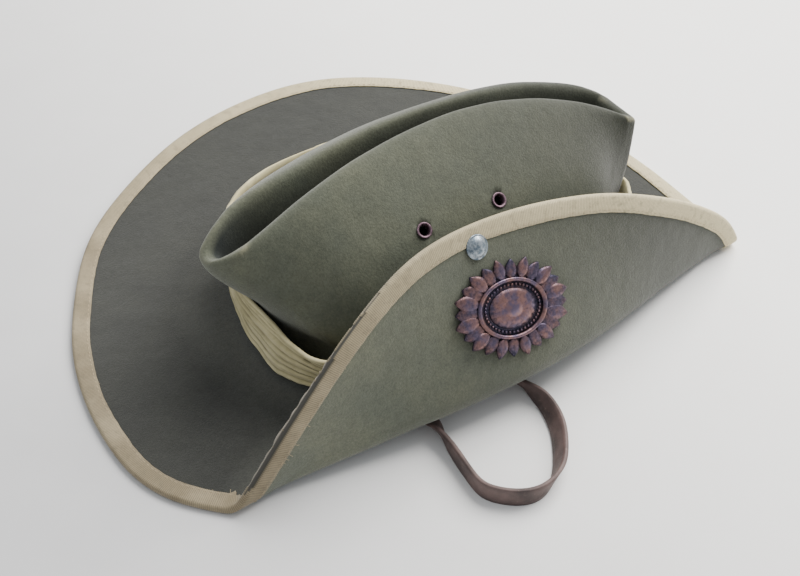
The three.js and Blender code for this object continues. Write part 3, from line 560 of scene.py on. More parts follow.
# %% Mix the felt
FELT_CROWN_TONES = (tone(91, 95, 81), tone(102, 104, 86))
FELT_CROWN_PAINTED_SHADE = tone(52, 54, 44)
FELT_BRIM_TONES = (tone(42, 43, 39), tone(46, 47, 42))
FELT_BRIM_PAINTED_LIGHT = tone(90, 91, 85)
FELT_RUBBED = tone(150, 146, 118)
FELT_SHADED = tone(34, 38, 38)
FRONT_TO_BACK = (-0.12, 0.1)
FRONT_END = (-0.1, -0.06)

fur_felt = new_finish("fur_felt")
clouds = speckle(fur_felt, 32, 5)
fibres = speckle(fur_felt, 900, 4, 0.75)
felt_shut_in = own_value(fur_felt, "shut_in")

# Painted shade darkens the crown towards its back, and painted light lifts the crown's shadow on
# the brim close to the crown
crown_painted_shade_share = towards_back(fur_felt, *FRONT_TO_BACK)
felt_crown = mottled(clouds, *FELT_CROWN_TONES)
felt_crown = mixed(crown_painted_shade_share, felt_crown, FELT_CROWN_PAINTED_SHADE)
brim_painted_light = eased(own_value(fur_felt, "by_crown"), 0.1, 0.46)
felt_brim = mottled(clouds, *FELT_BRIM_TONES)
felt_brim = mixed(brim_painted_light, felt_brim, FELT_BRIM_PAINTED_LIGHT)
felt_tone = mixed(own_value(fur_felt, "brim_face"), felt_crown, felt_brim)

# Fibres and small blotches change every tone a little
flecks = eased(fibres, 0.34, 0.66, 0.8, 1.2)
blotches = eased(speckle(fur_felt, 260, 3, 0.6), 0.35, 0.65, 0.93, 1.07)
felt_tone = dimmed(dimmed(felt_tone, flecks), blotches)

# Ridges are rubbed in patches, and hollows are shaded
ridges = eased(own_value(fur_felt, "ridge"), 0.05, 0.2)
patches = eased(speckle(fur_felt, 220, 3), 0.3, 0.7, 0.15, 0.85)
worn = worked("MULTIPLY", ridges, patches)
felt_tone = mixed(worn, felt_tone, FELT_RUBBED)
dusk = eased(own_value(fur_felt, "hollow"), 0.02, 0.12, 0.0, 0.75)
felt_tone = mixed(dusk, felt_tone, FELT_SHADED)

# Shut-in felt gets painted shade, most of all at the hat's front end, and its sheen is turned down
# there to darken it further
front_painted_shade = eased(felt_shut_in, 0.08, 0.4, 0.0, 0.94)
back_painted_shade = eased(felt_shut_in, 0.25, 0.65, 0.0, 0.38)
behind_front_end = towards_back(fur_felt, *FRONT_END)
depth = mixed(behind_front_end, front_painted_shade, back_painted_shade)
felt_tone = mixed(depth, felt_tone, FELT_SHADED)
swell = raised(speckle(fur_felt, 55, 2), 0.8 * MM)
paint(fur_felt, {
    "Base Color": felt_tone,
    "Normal": raised(fibres, 0.35 * MM, swell),
    "Roughness": 0.92, "Specular IOR Level": 0.25, "Sheen Roughness": 0.55,
    "Sheen Weight": eased(felt_shut_in, 0.1, 0.4, 0.25, 0.03),
})
dress(felt, fur_felt)
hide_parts("felt_body")

# %% [markdown]
# ## The tape round the brim
#
# A grosgrain tape, a ribbed strip, is folded over the brim's cut edge. A curve with a bevel would
# twist on the way round, so a grid is laid along the edge path instead. Each column is one step
# along the tape, and each row is one line of its section, from the upper side round the edge to the
# lower side and back along the felt. Rays set the points on the felt, so that the tape hugs it. Odd
# and even columns lie a little higher and lower, which makes the ribs.
#
# From the front corner of the turned-up flap on, the fold is torn open along the cut edge. There
# the grid dips to the bare felt, and the upper side is narrower and stands off. Turns round the
# edge run in degrees from 0 at the lower face over 90 at the cut edge to 180 at the upper face. A
# table of waves lists the height, the wavelength and the seed of noise that makes a measure uneven.

# %% Lay the tape
TAPE_WIDTH = 8.5 * MM
TAPE_LIFT = 0.75 * MM
RIB_PITCH = 0.95 * MM
RIB_HEIGHT = 0.13 * MM
TAPE_LINES = ((1.0, 0.55), (0.97, 0.85), (0.7, 1.0), (0.38, 1.0), (0.1, 1.0))
TAPE_TURNS = (58, 20, -20, -58)
TAPE_BACK_SHARES = (0.96, 0.4)
FACE_TURN = 60
WIDTH_WAVES = ((0.05, 30 * MM, 0), (0.025, 4 * MM, 5))
SWELL_WAVES = ((0.12 * MM, 12 * MM, 9),)
RAY_REACH = 5 * MM
CORNER_RISE = 14 * MM
FRAY_BEFORE_CORNER = 6 * MM
FRAY_LENGTH = 112 * MM
FRAY_RISE = 0.06
FRAY_FALL = 0.45
FRAY_DEPTH = 0.3
FRAY_WAVES = ((0.4, 9 * MM, 3), (0.35, 2.2 * MM, 4))
TORN_MIDDLE = 110
TORN_BELOW = 100
TORN_ABOVE = 50
TORN_WAVES = ((26, 6 * MM, 3), (22, 2 * MM, 4))
BARE_LIFT = 0.12 * MM
REMAIN_SHARE = 0.5
REMAIN_LIFT = 1.3 * MM
REMAIN_WAVES = ((0.8, 5 * MM, 6),)

# The tear starts at the front corner, where the edge of the brim leaves the surface it stands on
corner_at = next(
    stop
    for stop, point in zip(edge_stops, edge_points)
    if point.y < 0 < point.x and point.z > CORNER_RISE
)
FRAY_FROM = corner_at - FRAY_BEFORE_CORNER
FRAY_TO = corner_at + FRAY_LENGTH


def on_felt(middle, out, up, side, inward, lift):
    """The point on the brim's upper (side 1) or lower (side -1) face, lifted off it."""
    face = up * side
    over = middle - out * inward + face * (half_felt + RAY_REACH)
    hit = felt_rays.ray_cast(over, -face, 2 * RAY_REACH)[0]
    if hit is None:
        hit = middle - out * inward + face * half_felt
    return hit + face * lift


def noise_round(turn, radius, height):
    """A smooth random value from -1 to 1, read on a circle, so that it closes up."""
    return noise.noise(Vector((math.cos(turn) * radius, math.sin(turn) * radius, height)))


def wander(distance, wavelength, seed):
    """A smooth random value at a distance along the brim's edge."""
    radius = edge_length / (2 * math.pi * wavelength)
    return noise_round(2 * math.pi * distance / edge_length, radius, seed * 7.3)


def uneven(distance, base, waves, shift=0):
    """A value with waves round its base, at a distance along the brim."""
    return sum((high * wander(distance, long, seed + shift) for high, long, seed in waves), base)


def fray(distance):
    """How torn the tape's fold is, from 0 to 1."""
    share = (distance - FRAY_FROM) / (FRAY_TO - FRAY_FROM)
    return max(0.0, min(1.0, share / FRAY_RISE, (1 - share) / FRAY_FALL))


def bared(distance, turn):
    """1 where the felt's cut edge shows through the tear at a turn round it, otherwise 0."""
    torn = fray(distance)
    ragged = uneven(distance, 0, TORN_WAVES)
    low = TORN_MIDDLE - TORN_BELOW * torn + 0.5 * ragged
    high = TORN_MIDDLE + TORN_ABOVE * torn + ragged
    return float(torn > 0 and low < turn < high)


def tape_width(distance, side):
    """The tape's width on one side, uneven as hand-sewn tape is."""
    width = uneven(distance, 1, WIDTH_WAVES, side)
    if side > 0:
        ragged = uneven(distance, 0.75, FRAY_WAVES)
        width -= fray(distance) * FRAY_DEPTH * min(1.1, max(0.3, ragged))
    return TAPE_WIDTH * width


tape_columns = 2 * round(edge_length / RIB_PITCH)


def tape_column(number):
    """The points at one step along the tape, each with how bare the felt is there."""
    distance = edge_length * number / tape_columns
    middle, _, out, up = edge_at(distance)
    rib = RIB_HEIGHT if number % 2 else -RIB_HEIGHT
    swell = uneven(distance, 0, SWELL_WAVES)
    column = []
    for side in (1, -1):
        width = tape_width(distance, side)
        flat = []
        for share, lift in TAPE_LINES:
            bare = bared(distance, 90 + side * (90 + FACE_TURN * share))
            height = BARE_LIFT if bare else TAPE_LIFT * lift + rib + swell
            if side > 0 and share < REMAIN_SHARE:
                height += REMAIN_LIFT * fray(distance) * uneven(distance, 0.6, REMAIN_WAVES)
            flat.append((on_felt(middle, out, up, side, width * share, height), bare))
        column += flat[::side]
        for turn in TAPE_TURNS if side > 0 else ():
            angle = math.radians(turn)
            bare = bared(distance, 90 + turn)
            height = BARE_LIFT if bare else TAPE_LIFT + rib
            over = middle + out * math.cos(angle) * height
            column.append((over + up * math.sin(angle) * (half_felt + height), bare))
    for side in (-1, 1):
        width = tape_width(distance, side)
        back = [
            (on_felt(middle, out, up, side, width * share, BARE_LIFT / 2), 0.0)
            for share in TAPE_BACK_SHARES
        ]
        column += back[::-side]
    return column


def ring_piece(name, columns, mark_name):
    """A piece with a UV map from columns of marked points, closed in both directions."""
    skin = bmesh.new()
    skin.loops.layers.uv.new("along_and_across")
    wide = len(columns)
    high = len(columns[0])
    bmesh.ops.create_grid(skin, x_segments=wide, y_segments=high, size=0.5, calc_uvs=True)
    mark = skin.verts.layers.float.new(mark_name)
    for vertex in skin.verts:
        column = columns[round((vertex.co.x + 0.5) * wide) % wide]
        vertex.co, vertex[mark] = column[round((vertex.co.y + 0.5) * high) % high]
    return as_piece(name, sealed(skin))


tape = ring_piece("brim_tape", [tape_column(number) for number in range(tape_columns)], "bare")
print("tape:", count(tape), "triangles,", tape_columns // 2, "ribs")

# %% Mix the tape
TAPE_TONES = (tone(134, 122, 98), tone(162, 149, 122))
TAPE_BACK_TONE = tone(206, 193, 156)
TAPE_GRIME = tone(116, 108, 90)
TAPE_BARE = tone(62, 60, 54)

grosgrain = new_finish("grosgrain_tape")
tape_threads = speckle(grosgrain, 2600, 2)
tape_back = towards_back(grosgrain, *FRONT_TO_BACK)
tape_tone = mottled(speckle(grosgrain, 45, 4), *TAPE_TONES)
# The tape grows paler towards the hat's back
tape_tone = mixed(tape_back, tape_tone, TAPE_BACK_TONE)
tape_dirt = eased(speckle(grosgrain, 240, 5, 0.65), 0.52, 0.75, 0.0, 0.6)
tape_tone = mixed(tape_dirt, tape_tone, TAPE_GRIME)
tape_tone = dimmed(tape_tone, eased(tape_threads, 0.3, 0.7, 0.85, 1.1))
# Painted light on the ribs' crests and painted shade between them
rib_light_and_shade = eased(striped(grosgrain, tape_columns // 2), -1.0, 1.0, 1.14, 0.72)
tape_tone = dimmed(tape_tone, rib_light_and_shade)
tape_tone = mixed(own_value(grosgrain, "bare"), tape_tone, TAPE_BARE)
paint(grosgrain, {
    "Base Color": tape_tone,
    "Normal": raised(tape_threads, 0.12 * MM),
    "Roughness": 0.8, "Specular IOR Level": 0.3, "Sheen Weight": 0.2, "Sheen Roughness": 0.4,
})
dress(tape, grosgrain)
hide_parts("brim_binding")

# %% [markdown]
# ## Stitches and loose threads
#
# The tape is sewn down along both of its inner edges. Where its fold is torn, the upper stitches
# are gone and threads stick out, and a few more do along the front. Stitches could be painted on,
# but they catch the light, so each is a short tube of a few faces. One curve object holds them all
# as separate splines with a round bevel and is turned into a mesh at the end.

# %% Sew the stitches
STITCH_STEP = 3.3 * MM
STITCH_LENGTH = 2.1 * MM
STITCH_FROM_TAPE_EDGE = 1.3 * MM
STITCH_RADIUS = 0.19 * MM
STITCH_LIFT = 0.05 * MM
STITCH_ARCH = ((-1, 0.35), (-0.5, 0.95), (0.5, 0.95), (1, 0.35))
STITCHES_GONE = 0.2
TUBE_ROUNDING = 1


def thread_piece(name, strands, radius):
    """One mesh of thin tubes, each along its own short list of points."""
    curve = bpy.data.curves.new(name, "CURVE")
    curve.dimensions = "3D"
    curve.bevel_depth = radius
    curve.bevel_resolution = TUBE_ROUNDING
    curve.use_fill_caps = True
    for strand in strands:
        spline = curve.splines.new("POLY")
        spline.points.add(len(strand) - 1)
        for point, place in zip(spline.points, strand):
            point.co = (*place, 1)
    drawn = bpy.data.objects.new(name + "_line", curve)
    bpy.context.scene.collection.objects.link(drawn)
    graph = bpy.context.evaluated_depsgraph_get()
    mesh = bpy.data.meshes.new_from_object(drawn.evaluated_get(graph))
    bpy.data.objects.remove(drawn)
    skin = bmesh.new()
    skin.from_mesh(mesh)
    return as_piece(name, sealed(skin, MERGE_DISTANCE / 100))


random.seed(11)
stitches = []
for side in (1, -1):
    for number in range(round(edge_length / STITCH_STEP)):
        middle_at = (number + random.uniform(-0.1, 0.1)) * STITCH_STEP
        half = STITCH_LENGTH / 2 * random.uniform(0.85, 1.15)
        strand = []
        for share, lift in STITCH_ARCH:
            stitch_at = middle_at + half * share
            middle, _, out, up = edge_at(stitch_at)
            inward = tape_width(stitch_at, side) - STITCH_FROM_TAPE_EDGE
            height = TAPE_LIFT * lift + STITCH_LIFT
            if inward > STITCH_FROM_TAPE_EDGE:
                strand.append(on_felt(middle, out, up, side, inward, height))
        gone = side > 0 and fray(middle_at) > STITCHES_GONE
        if len(strand) == len(STITCH_ARCH) and not gone:
            stitches.append(strand)
stitching = thread_piece("tape_stitches", stitches, STITCH_RADIUS)
print("stitches:", len(stitches), "with", count(stitching), "triangles")

# %% Pull the loose threads
THREAD_RADIUS = 0.11 * MM
THREAD_FROM_TAPE_EDGE = 0.6 * MM
THREAD_LIFT = 0.7
THREAD_STEPS = 5
THREAD_CURL = 0.45
TORN_THREADS = 150
TORN_LENGTHS = (1.2, 4.5)
LONE_THREADS = 26
LONE_LENGTHS = (1, 2.6)
LONE_SHARES = (0.45, 0.72)
THREAD_TONES = (tone(146, 130, 104), tone(186, 170, 140))


def loose_thread(distance, side, length):
    """A thread that curls away from the tape's inner edge and stays above the floor."""
    middle, along, out, up = edge_at(distance)
    inward = tape_width(distance, side) - THREAD_FROM_TAPE_EDGE
    place = on_felt(middle, out, up, side, inward, TAPE_LIFT * THREAD_LIFT)
    heading = -out * random.uniform(0.5, 1.0) + along * random.uniform(-0.9, 0.9)
    heading += up * side * random.uniform(0.1, 0.5)
    heading.normalize()
    strand = [place]
    for _ in range(THREAD_STEPS):
        heading += Vector([random.uniform(-THREAD_CURL, THREAD_CURL) for _ in range(3)])
        heading.normalize()
        place = place + heading * length / THREAD_STEPS
        place.z = max(place.z, THREAD_RADIUS)
        strand.append(place)
    return strand


loose = [
    loose_thread(random.uniform(FRAY_FROM, FRAY_TO), 1, random.uniform(*TORN_LENGTHS) * MM)
    for _ in range(TORN_THREADS)
]
for _ in range(LONE_THREADS):
    distance = random.uniform(*LONE_SHARES) * edge_length
    side = random.choice((1, -1))
    loose.append(loose_thread(distance, side, random.uniform(*LONE_LENGTHS) * MM))
threads = thread_piece("loose_threads", loose, THREAD_RADIUS)
print("threads:", len(loose), "with", count(threads), "triangles")

sewing_thread = new_finish("tape_thread")
thread_tone = mixed(speckle(sewing_thread, 300, 2), *THREAD_TONES)
paint(sewing_thread, {"Base Color": thread_tone, "Roughness": 0.8})
for sewn in (stitching, threads):
    dress(sewn, sewing_thread)

# %% [markdown]
# ## The puggaree
#
# Round the foot of the crown lies the puggaree, a cotton cloth folded into narrow pleats. It stands
# off the crown at the top where the felt is pressed in. Its plain solid gives the place: rays from
# the crown's middle find its inner face at every height, and a closed grid is laid on that. The
# pleats are steps in the outer face, each with its folded edge up, and their lines wander a little.
# The cloth bulges at its foot near the front and flares at its top on the far side. Each point
# carries a value for painted shade, dark in the folds and on the inner face of the flare.

# %% Fold the puggaree
BAND_COLUMNS = 420
BAND_SCAN_STEP = 0.5 * MM
BAND_CLOTH = 0.8 * MM
BAND_EDGE = 0.7 * MM
BAND_SWAY = 0.5 * MM
PLEATS = 9
BAND_OUTER_ROWS = 7 * PLEATS
BAND_INNER_ROWS = 8
BAND_INNER_GAP = 0.15 * MM
PLEAT_DEPTH = 2.2 * MM
PLEAT_FOLD = 0.8
PLEAT_ROUND = 0.7
SHADE_BELOW = 0.22
SHADE_FROM = 0.88
SHADE_ABOVE = 0.12
BULGE_TURN = math.radians(-80)
BULGE_SPREAD = math.radians(32)
BULGE_DEPTH = 6.5 * MM
BULGE_TOP = 0.55
FLARE_TURN = math.radians(-158)
FLARE_SPREAD = math.radians(55)
FLARE_DEPTH = 6 * MM
FLARE_SHADE = 0.9

band_rays = BVHTree.FromObject(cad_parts["puggaree"], bpy.context.evaluated_depsgraph_get())
band_low, band_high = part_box("puggaree")
crown_middle = (Vector(band_low) + Vector(band_high)) / 2


def on_axis(height):
    """The point at a height above the crown's middle."""
    return Vector((crown_middle.x, crown_middle.y, height))


def band_faces(direction):
    """The heights and inner distances of the band's solid in one direction from the middle."""
    found = []
    height = band_low[2]
    while height < band_high[2]:
        hit = band_rays.ray_cast(on_axis(height), direction)
        if hit[0] is not None:
            found.append((height, hit[3]))
        height += BAND_SCAN_STEP
    return zip(*found)


def wave(turn, count_round, seed):
    """A smooth random value in one direction from the crown's middle."""
    return noise_round(turn, count_round / (2 * math.pi), seed * 3.7)


def nearness(turn, middle, spread):
    """A share that is 1 in one direction and fades to 0 at a spread to either side."""
    apart = abs(math.remainder(turn - middle, 2 * math.pi))
    return math.cos(min(1.0, apart / spread) * math.pi / 2) ** 2


def pleat_line(line, turn):
    """A pleat's border as a share of the height; only the first and last are level."""
    if line in (0, PLEATS):
        return line / PLEATS
    return (line + (0.3 * wave(turn, 14, line) + 0.15 * wave(turn, 40, line))) / PLEATS


def pleat_profile(share, turn):
    """How far the outer face stands out at a share of the height, and its shade in the folds."""
    edges = [pleat_line(line, turn) for line in range(PLEATS + 1)]
    line = next((line for line in range(PLEATS) if share <= edges[line + 1]), PLEATS - 1)
    within = (share - edges[line]) / (edges[line + 1] - edges[line])
    within = min(1.0, max(0.0, within))
    if within < PLEAT_FOLD:
        rise = within**PLEAT_ROUND
    else:
        rise = (1 - within) / (1 - PLEAT_FOLD) * PLEAT_FOLD**PLEAT_ROUND
    fullness = 0.75 + 0.5 * wave(turn, 18, line + 20)
    shade = max(0.0, 1 - within / SHADE_BELOW, (within - SHADE_FROM) / SHADE_ABOVE)
    return rise * fullness, shade * (0.75 + 0.5 * wave(turn, 30, line + 30))


def band_column(number):
    """The points in one direction, up the outer face and down the inner one, with their shade."""
    turn = 2 * math.pi * number / BAND_COLUMNS
    direction = Vector((math.cos(turn), math.sin(turn), 0))
    heights, reaches = band_faces(direction)
    foot = heights[0] + BAND_EDGE * (1 + wave(turn, 12, 51))
    top = heights[-1] - BAND_EDGE * (1 + wave(turn, 16, 52))
    sway = BAND_SWAY * wave(turn, 10, 50)
    bulge = BULGE_DEPTH * nearness(turn, BULGE_TURN, BULGE_SPREAD)
    bulge *= 0.9 + 0.5 * wave(turn, 30, 53)
    flaring = nearness(turn, FLARE_TURN, FLARE_SPREAD)
    rows = []
    for row in range(BAND_OUTER_ROWS + 1):
        share = row / BAND_OUTER_ROWS
        rise, shade = pleat_profile(share, turn)
        out = BAND_CLOTH + PLEAT_DEPTH * rise + sway * math.sin(math.pi * share)
        out += bulge * max(0.0, 1 - share / BULGE_TOP) ** 0.6 + FLARE_DEPTH * flaring * share**2
        rows.append((share, 0.0, out, 0.0 if row in (0, BAND_OUTER_ROWS) else shade))
    for row in range(BAND_INNER_ROWS):
        share = 1 - row / (BAND_INNER_ROWS - 1)
        flare = FLARE_DEPTH * flaring * share**2
        # The inner face under the flare gets painted shade
        shade = 0.0 if row == 0 else FLARE_SHADE * flaring**0.3
        rows.append((0.01 + 0.98 * share, flare, BAND_INNER_GAP, shade))
    column = []
    for share, flare, out, shade in rows:
        height = foot + (top - foot) * share
        reach = float(np.interp(height, heights, reaches)) + flare
        column.append((on_axis(height) + direction * (reach + out), shade))
    return column


band_columns = [band_column(number) for number in range(BAND_COLUMNS)]
band = ring_piece("puggaree_cloth", band_columns, "shade")
print("puggaree:", count(band), "triangles in", PLEATS, "pleats")

# %% Mix the cotton
COTTON_TONES = (tone(184, 174, 132), tone(208, 198, 156))
COTTON_GRIME = tone(140, 130, 94)
COTTON_PAINTED_SHADE = tone(78, 70, 46)

cotton = new_finish("khaki_cotton")
cotton_clouds = speckle(cotton, 60, 4)
cotton_dirt = eased(speckle(cotton, 130, 5, 0.6), 0.55, 0.8, 0.0, 0.5)
cotton_tone = mottled(cotton_clouds, *COTTON_TONES)
cotton_tone = mixed(cotton_dirt, cotton_tone, COTTON_GRIME)
# Painted shade in the folds of the pleats and inside the flare
cotton_tone = mixed(own_value(cotton, "shade"), cotton_tone, COTTON_PAINTED_SHADE)
paint(cotton, {
    "Base Color": cotton_tone,
    "Normal": raised(speckle(cotton, 2200, 2), 0.12 * MM),
    "Roughness": 0.88, "Specular IOR Level": 0.25, "Sheen Weight": 0.15, "Sheen Roughness": 0.5,
})
dress(band, cotton)
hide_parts("puggaree")

# %% [markdown]
# ## The chin strap
#
# A narrow leather strap hangs from inside the crown and comes out under the turned-up brim in a
# loop that stands on its edge. The solid's skin is copied, its long edges are kept crisp by a
# crease, and the rest is rounded.

# %% Round the strap
STRAP_EDGE_ANGLE = math.radians(45)
STRAP_CREASE = 0.75

strap_skin = merged_copy("chin_strap")
strap_creases = strap_skin.edges.layers.float.new("crease_edge")
for strap_edge in strap_skin.edges:
    if strap_edge.calc_face_angle(0) > STRAP_EDGE_ANGLE:
        strap_edge[strap_creases] = STRAP_CREASE
strap = subdivide_smoothly(as_piece("strap_leather", strap_skin))
print("strap:", count(strap), "triangles")

# %% Mix the leather
LEATHER_TONES = (tone(66, 54, 52), tone(100, 82, 78))
LEATHER_RUBBED = tone(146, 124, 110)

leather = new_finish("brown_leather")
leather_clouds = speckle(leather, 80, 5)
leather_scuffs = eased(speckle(leather, 500, 4, 0.7), 0.6, 0.78, 0.0, 0.6)
leather_tone = mottled(leather_clouds, *LEATHER_TONES)
leather_tone = mixed(leather_scuffs, leather_tone, LEATHER_RUBBED)
paint(leather, {
    "Base Color": leather_tone,
    "Normal": raised(speckle(leather, 900, 3), 0.15 * MM),
    "Roughness": 0.62, "Specular IOR Level": 0.4,
})
dress(strap, leather)
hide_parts("chin_strap")

# %% [markdown]
# ## The eyelets and the press stud
#
# Two metal eyelets let air into the crown, and a press stud holds the brim up. They are round, so
# each is a profile turned on an axis, as on a lathe: a few points in the plane of radius and height
# are spun through a full turn. The axis is the direction in which the solid's points spread least.

# %% Turn the eyelets and the stud
TURN_STEPS = 40


def measured(node_name):
    """A solid's half sizes, and the matrix that puts a shape made at the origin in its place."""
    points = np.array([vertex.co[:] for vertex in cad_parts[node_name].data.vertices])
    _, spread = np.linalg.eigh(np.cov((points - points.mean(0)).T))
    long_way, _, normal = spread.T[::-1]
    if normal[0] < 0:
        normal = -normal
    if long_way[1] < 0:
        long_way = -long_way
    ways = np.array([long_way, np.cross(normal, long_way), normal])
    reach = points @ ways.T
    middle = ways.T @ ((reach.min(0) + reach.max(0)) / 2)
    turn = Matrix(ways.T.tolist()).to_4x4()
    return (reach.max(0) - reach.min(0)) / 2, Matrix.Translation(Vector(middle)) @ turn


def turned(profile, closed):
    """A bmesh spun about Z from pairs of radius and height in millimetres."""
    skin = bmesh.new()
    spots = [skin.verts.new((radius * MM, 0, height * MM)) for radius, height in profile]
    pairs = list(zip(spots, spots[1:]))
    if closed:
        pairs.append((spots[-1], spots[0]))
    lines = [skin.edges.new(pair) for pair in pairs]
    bmesh.ops.spin(
        skin, geom=spots + lines, cent=(0, 0, 0), axis=(0, 0, 1),
        angle=2 * math.pi, steps=TURN_STEPS, use_merge=True,
    )
    return sealed(skin)


def put_in_place(piece_name, skin, node_name):
    """The rounded piece of a turned skin, at the place of its solid."""
    bmesh.ops.transform(skin, matrix=measured(node_name)[1], verts=skin.verts)
    return subdivide_smoothly(as_piece(piece_name, skin), levels=1)


EYELET_PROFILE = (
    (2.45, -2.1), (3.5, -2.25), (3.75, -1.9), (3.5, -1.6), (2.85, -1.5), (2.85, 1.45),
    (3.6, 1.5), (3.95, 1.7), (3.85, 2.0), (3.4, 2.15), (2.85, 1.95), (2.5, 1.4),
)
STUD_PROFILE = (
    (0, -3.15), (4.6, -3.15), (4.8, -2.8), (4.6, -2.5), (1.8, -2.4), (1.8, 0.55), (5.7, 0.55),
    (6.1, 0.85), (6.0, 1.35), (5.6, 1.5), (5.2, 1.4), (4.9, 1.75), (4.0, 2.5), (2.6, 3.05),
    (1.2, 3.25), (0, 3.3),
)

eyelets = []
for eyelet_name in ("eyelet_front", "eyelet_back"):
    eyelet = put_in_place(eyelet_name + "_rim", turned(EYELET_PROFILE, closed=True), eyelet_name)
    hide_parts(eyelet_name)
    eyelets.append(eyelet)
stud = put_in_place("stud_cap", turned(STUD_PROFILE, closed=False), "press_stud")
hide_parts("press_stud")
print("each eyelet:", count(eyelets[0]), "triangles; stud:", count(stud))

# %% Mix the metals of the eyelets and the stud
EYELET_TONES = (tone(74, 56, 62), tone(128, 104, 116))
STUD_TONES = (tone(88, 100, 110), tone(158, 166, 172))
STUD_STAIN = tone(92, 92, 82)

lacquer = new_finish("worn_eyelet")
eyelet_spots = speckle(lacquer, 900, 4, 0.6)
paint(lacquer, {
    "Base Color": mottled(eyelet_spots, *EYELET_TONES),
    "Normal": raised(eyelet_spots, 0.06 * MM),
    "Roughness": eased(eyelet_spots, 0.3, 0.7, 0.35, 0.65),
    "Metallic": 0.75,
})
for eyelet in eyelets:
    dress(eyelet, lacquer)

nickel = new_finish("worn_nickel")
stud_blotches = speckle(nickel, 420, 5, 0.6)
stud_stains = eased(speckle(nickel, 800, 4, 0.7), 0.58, 0.7, 0.0, 0.7)
stud_tone = mottled(stud_blotches, *STUD_TONES, 0.4, 0.62)
paint(nickel, {
    "Base Color": mixed(stud_stains, stud_tone, STUD_STAIN),
    "Normal": raised(stud_blotches, 0.12 * MM),
    "Roughness": eased(stud_blotches, 0.35, 0.65, 0.5, 0.3),
    "Metallic": 0.85,
})
dress(stud, nickel)

# %% [markdown]
# ## The badge
#
# On the turned-up side sits an oval metal badge, stamped in relief: a wreath of leaves round a
# beaded ring, with a ribbed boss in the middle. It could be one displaced plate, but a stamped leaf
# has crisp edges. So each part is shaped by itself and set on the plate. A leaf is a small grid
# pinched to a point at both ends, domed, folded along its midrib and given a wall.

# %% Stamp the badge
(BADGE_LONG, BADGE_SHORT, badge_depth), badge_place = measured("badge")
BADGE_FOOT = -badge_depth
RELIEF_HEIGHT = 3 * MM

# Profiles of radius as a share of the badge's oval, and height above its foot in millimetres
PLATE_PROFILE = ((0, 0), (0.78, 0), (0.8, 0.3), (0.78, 0.8), (0, 0.85))
RING_PROFILE = ((0.54, 0.7), (0.62, 0.7), (0.62, 1.9), (0.6, 2.3), (0.57, 2.3), (0.54, 1.8))
BOSS_PROFILE = (
    (0, 0.6), (0.42, 0.6), (0.4, 1.5), (0.33, 2.1), (0.2, 2.6), (0.17, 2.4), (0.13, 2.9), (0, 3.1),
)
BOSS_RIBS = 20
BOSS_RIB_HEIGHT = 0.22 * MM
BOSS_RIB_FROM = 0.19
BOSS_RIB_TO = 0.41

# Two rows of leaves: where each starts and ends, and its width, dome and lift in millimetres
LEAF_ROWS = ((0.58, 0.98, 8.5, 0.9, 0.5), (0.6, 1.02, 7.5, 1.0, 0.8))
WREATH_LEAVES = 12
LEAF_LENGTH = 12 * MM
LEAF_WALL = 0.7 * MM
LEAF_TIP_DROP = 0.3 * MM
GROOVE_WIDTH = 0.14
GROOVE_DEPTH = 0.45
VEINS = 7
VEIN_SLANT = 1.2
VEIN_DEPTH = 0.08
BEADS = 44
BEAD_RADIUS = 0.75 * MM
BEAD_RING = 0.48
BEAD_LIFT = 1.2 * MM


def leaf_skin(length, width, height):
    """One pointed leaf along +X from the origin, domed, with a groove along its midrib."""
    skin = bmesh.new()
    bmesh.ops.create_grid(skin, x_segments=10, y_segments=6, size=0.5)
    for vertex in skin.verts:
        along = vertex.co.x + 0.5
        across = vertex.co.y * 2
        spread = max(0.04, math.sin(math.pi * along**0.85)) ** 0.8
        dome = (1 - across**2) * height * spread
        groove = math.exp(-((across / GROOVE_WIDTH) ** 2)) * height * GROOVE_DEPTH * spread
        slant = 2 * math.pi * (along * VEINS - abs(across) * VEIN_SLANT)
        vein = VEIN_DEPTH * height * math.cos(slant) * spread
        relief = dome - groove + vein - LEAF_TIP_DROP * along
        vertex.co = Vector((along * length, across * width / 2 * spread, relief))
    bmesh.ops.solidify(skin, geom=skin.faces, thickness=-LEAF_WALL)
    bmesh.ops.recalc_face_normals(skin, faces=skin.faces)
    return skin


def add_to(whole, part, matrix):
    """Adds a part's faces to a larger bmesh, put in place by a matrix."""
    bmesh.ops.transform(part, matrix=matrix, verts=part.verts)
    mesh = bpy.data.meshes.new("part")
    part.to_mesh(mesh)
    part.free()
    whole.from_mesh(mesh)
    bpy.data.meshes.remove(mesh)


def oval(profile, closed):
    """A profile above the badge's foot, turned and squeezed to the badge's oval."""
    foot = BADGE_FOOT / MM
    skin = turned([(radius, foot + height) for radius, height in profile], closed)
    for vertex in skin.verts:
        vertex.co.x *= BADGE_LONG / MM
        vertex.co.y *= BADGE_SHORT / MM
    return skin


def on_oval(turn, share, height=0.0):
    """A point on an oval line round the badge's middle."""
    ways = math.cos(turn) * BADGE_LONG, math.sin(turn) * BADGE_SHORT
    return Vector((ways[0] * share, ways[1] * share, height))


badge_skin = bmesh.new()
add_to(badge_skin, oval(PLATE_PROFILE, closed=False), Matrix())
add_to(badge_skin, oval(RING_PROFILE, closed=True), Matrix())
boss = oval(BOSS_PROFILE, closed=False)
for vertex in boss.verts:
    share = math.hypot(vertex.co.x / BADGE_LONG, vertex.co.y / BADGE_SHORT)
    if BOSS_RIB_FROM < share < BOSS_RIB_TO:
        turn = math.atan2(vertex.co.y / BADGE_SHORT, vertex.co.x / BADGE_LONG)
        vertex.co.z += BOSS_RIB_HEIGHT * math.cos(BOSS_RIBS * turn)
add_to(badge_skin, boss, Matrix())

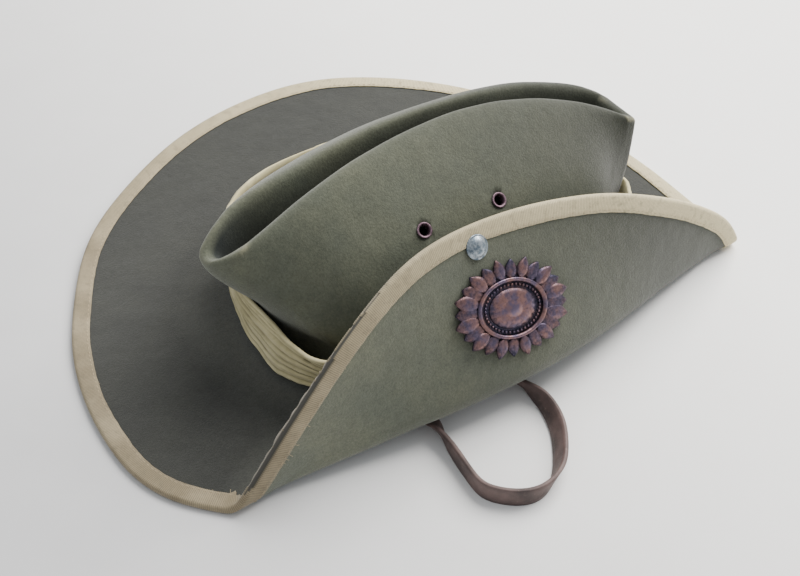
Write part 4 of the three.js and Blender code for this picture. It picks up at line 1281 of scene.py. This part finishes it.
for row, (first, last, wide, high, lift) in enumerate(LEAF_ROWS):
    for number in range(WREATH_LEAVES):
        turn = 2 * math.pi * (number + 0.5 * row) / WREATH_LEAVES
        start = on_oval(turn, first)
        reach = on_oval(turn, last) - start
        leaf = leaf_skin(reach.length, wide * MM * reach.length / LEAF_LENGTH, high * MM)
        facing = Matrix.Rotation(math.atan2(reach.y, reach.x), 4, "Z")
        seat = Matrix.Translation(start + Vector((0, 0, BADGE_FOOT + lift * MM)))
        add_to(badge_skin, leaf, seat @ facing)

for number in range(BEADS):
    bead = bmesh.new()
    bmesh.ops.create_icosphere(bead, subdivisions=1, radius=BEAD_RADIUS)
    place = on_oval(2 * math.pi * number / BEADS, BEAD_RING, BADGE_FOOT + BEAD_LIFT)
    add_to(badge_skin, bead, Matrix.Translation(place))

badge_heights = [(vertex.co.z - BADGE_FOOT) / RELIEF_HEIGHT for vertex in badge_skin.verts]
bmesh.ops.transform(badge_skin, matrix=badge_place, verts=badge_skin.verts)
badge = as_piece("wreath_badge", badge_skin)
carry(badge, "relief", badge_heights)
print("badge:", count(badge), "triangles,", 2 * WREATH_LEAVES, "leaves and", BEADS, "beads")

# %% Tarnish the badge
BADGE_LOW_TONES = (tone(38, 38, 54), tone(56, 46, 54))
BADGE_HIGH_TONES = (tone(92, 80, 98), tone(128, 96, 92))

bronze = new_finish("tarnished_bronze")
badge_cloud = speckle(bronze, 160, 4)
badge_low = mottled(badge_cloud, *BADGE_LOW_TONES, 0.4, 0.6)
badge_high = mottled(badge_cloud, *BADGE_HIGH_TONES, 0.4, 0.6)
badge_specks = eased(speckle(bronze, 700, 4, 0.7), 0.3, 0.7, -0.25, 0.25)
badge_rub = worked("ADD", own_value(bronze, "relief"), badge_specks)
paint(bronze, {
    "Base Color": mottled(badge_rub, badge_low, badge_high, 0.25, 0.85),
    "Normal": raised(speckle(bronze, 1200, 3), 0.05 * MM),
    "Roughness": eased(badge_rub, 0.2, 0.9, 0.6, 0.32),
    "Metallic": 0.8,
})
dress(badge, bronze)
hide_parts("badge")

# %% [markdown]
# ## Finish
#

# %% Finish
print("finished")
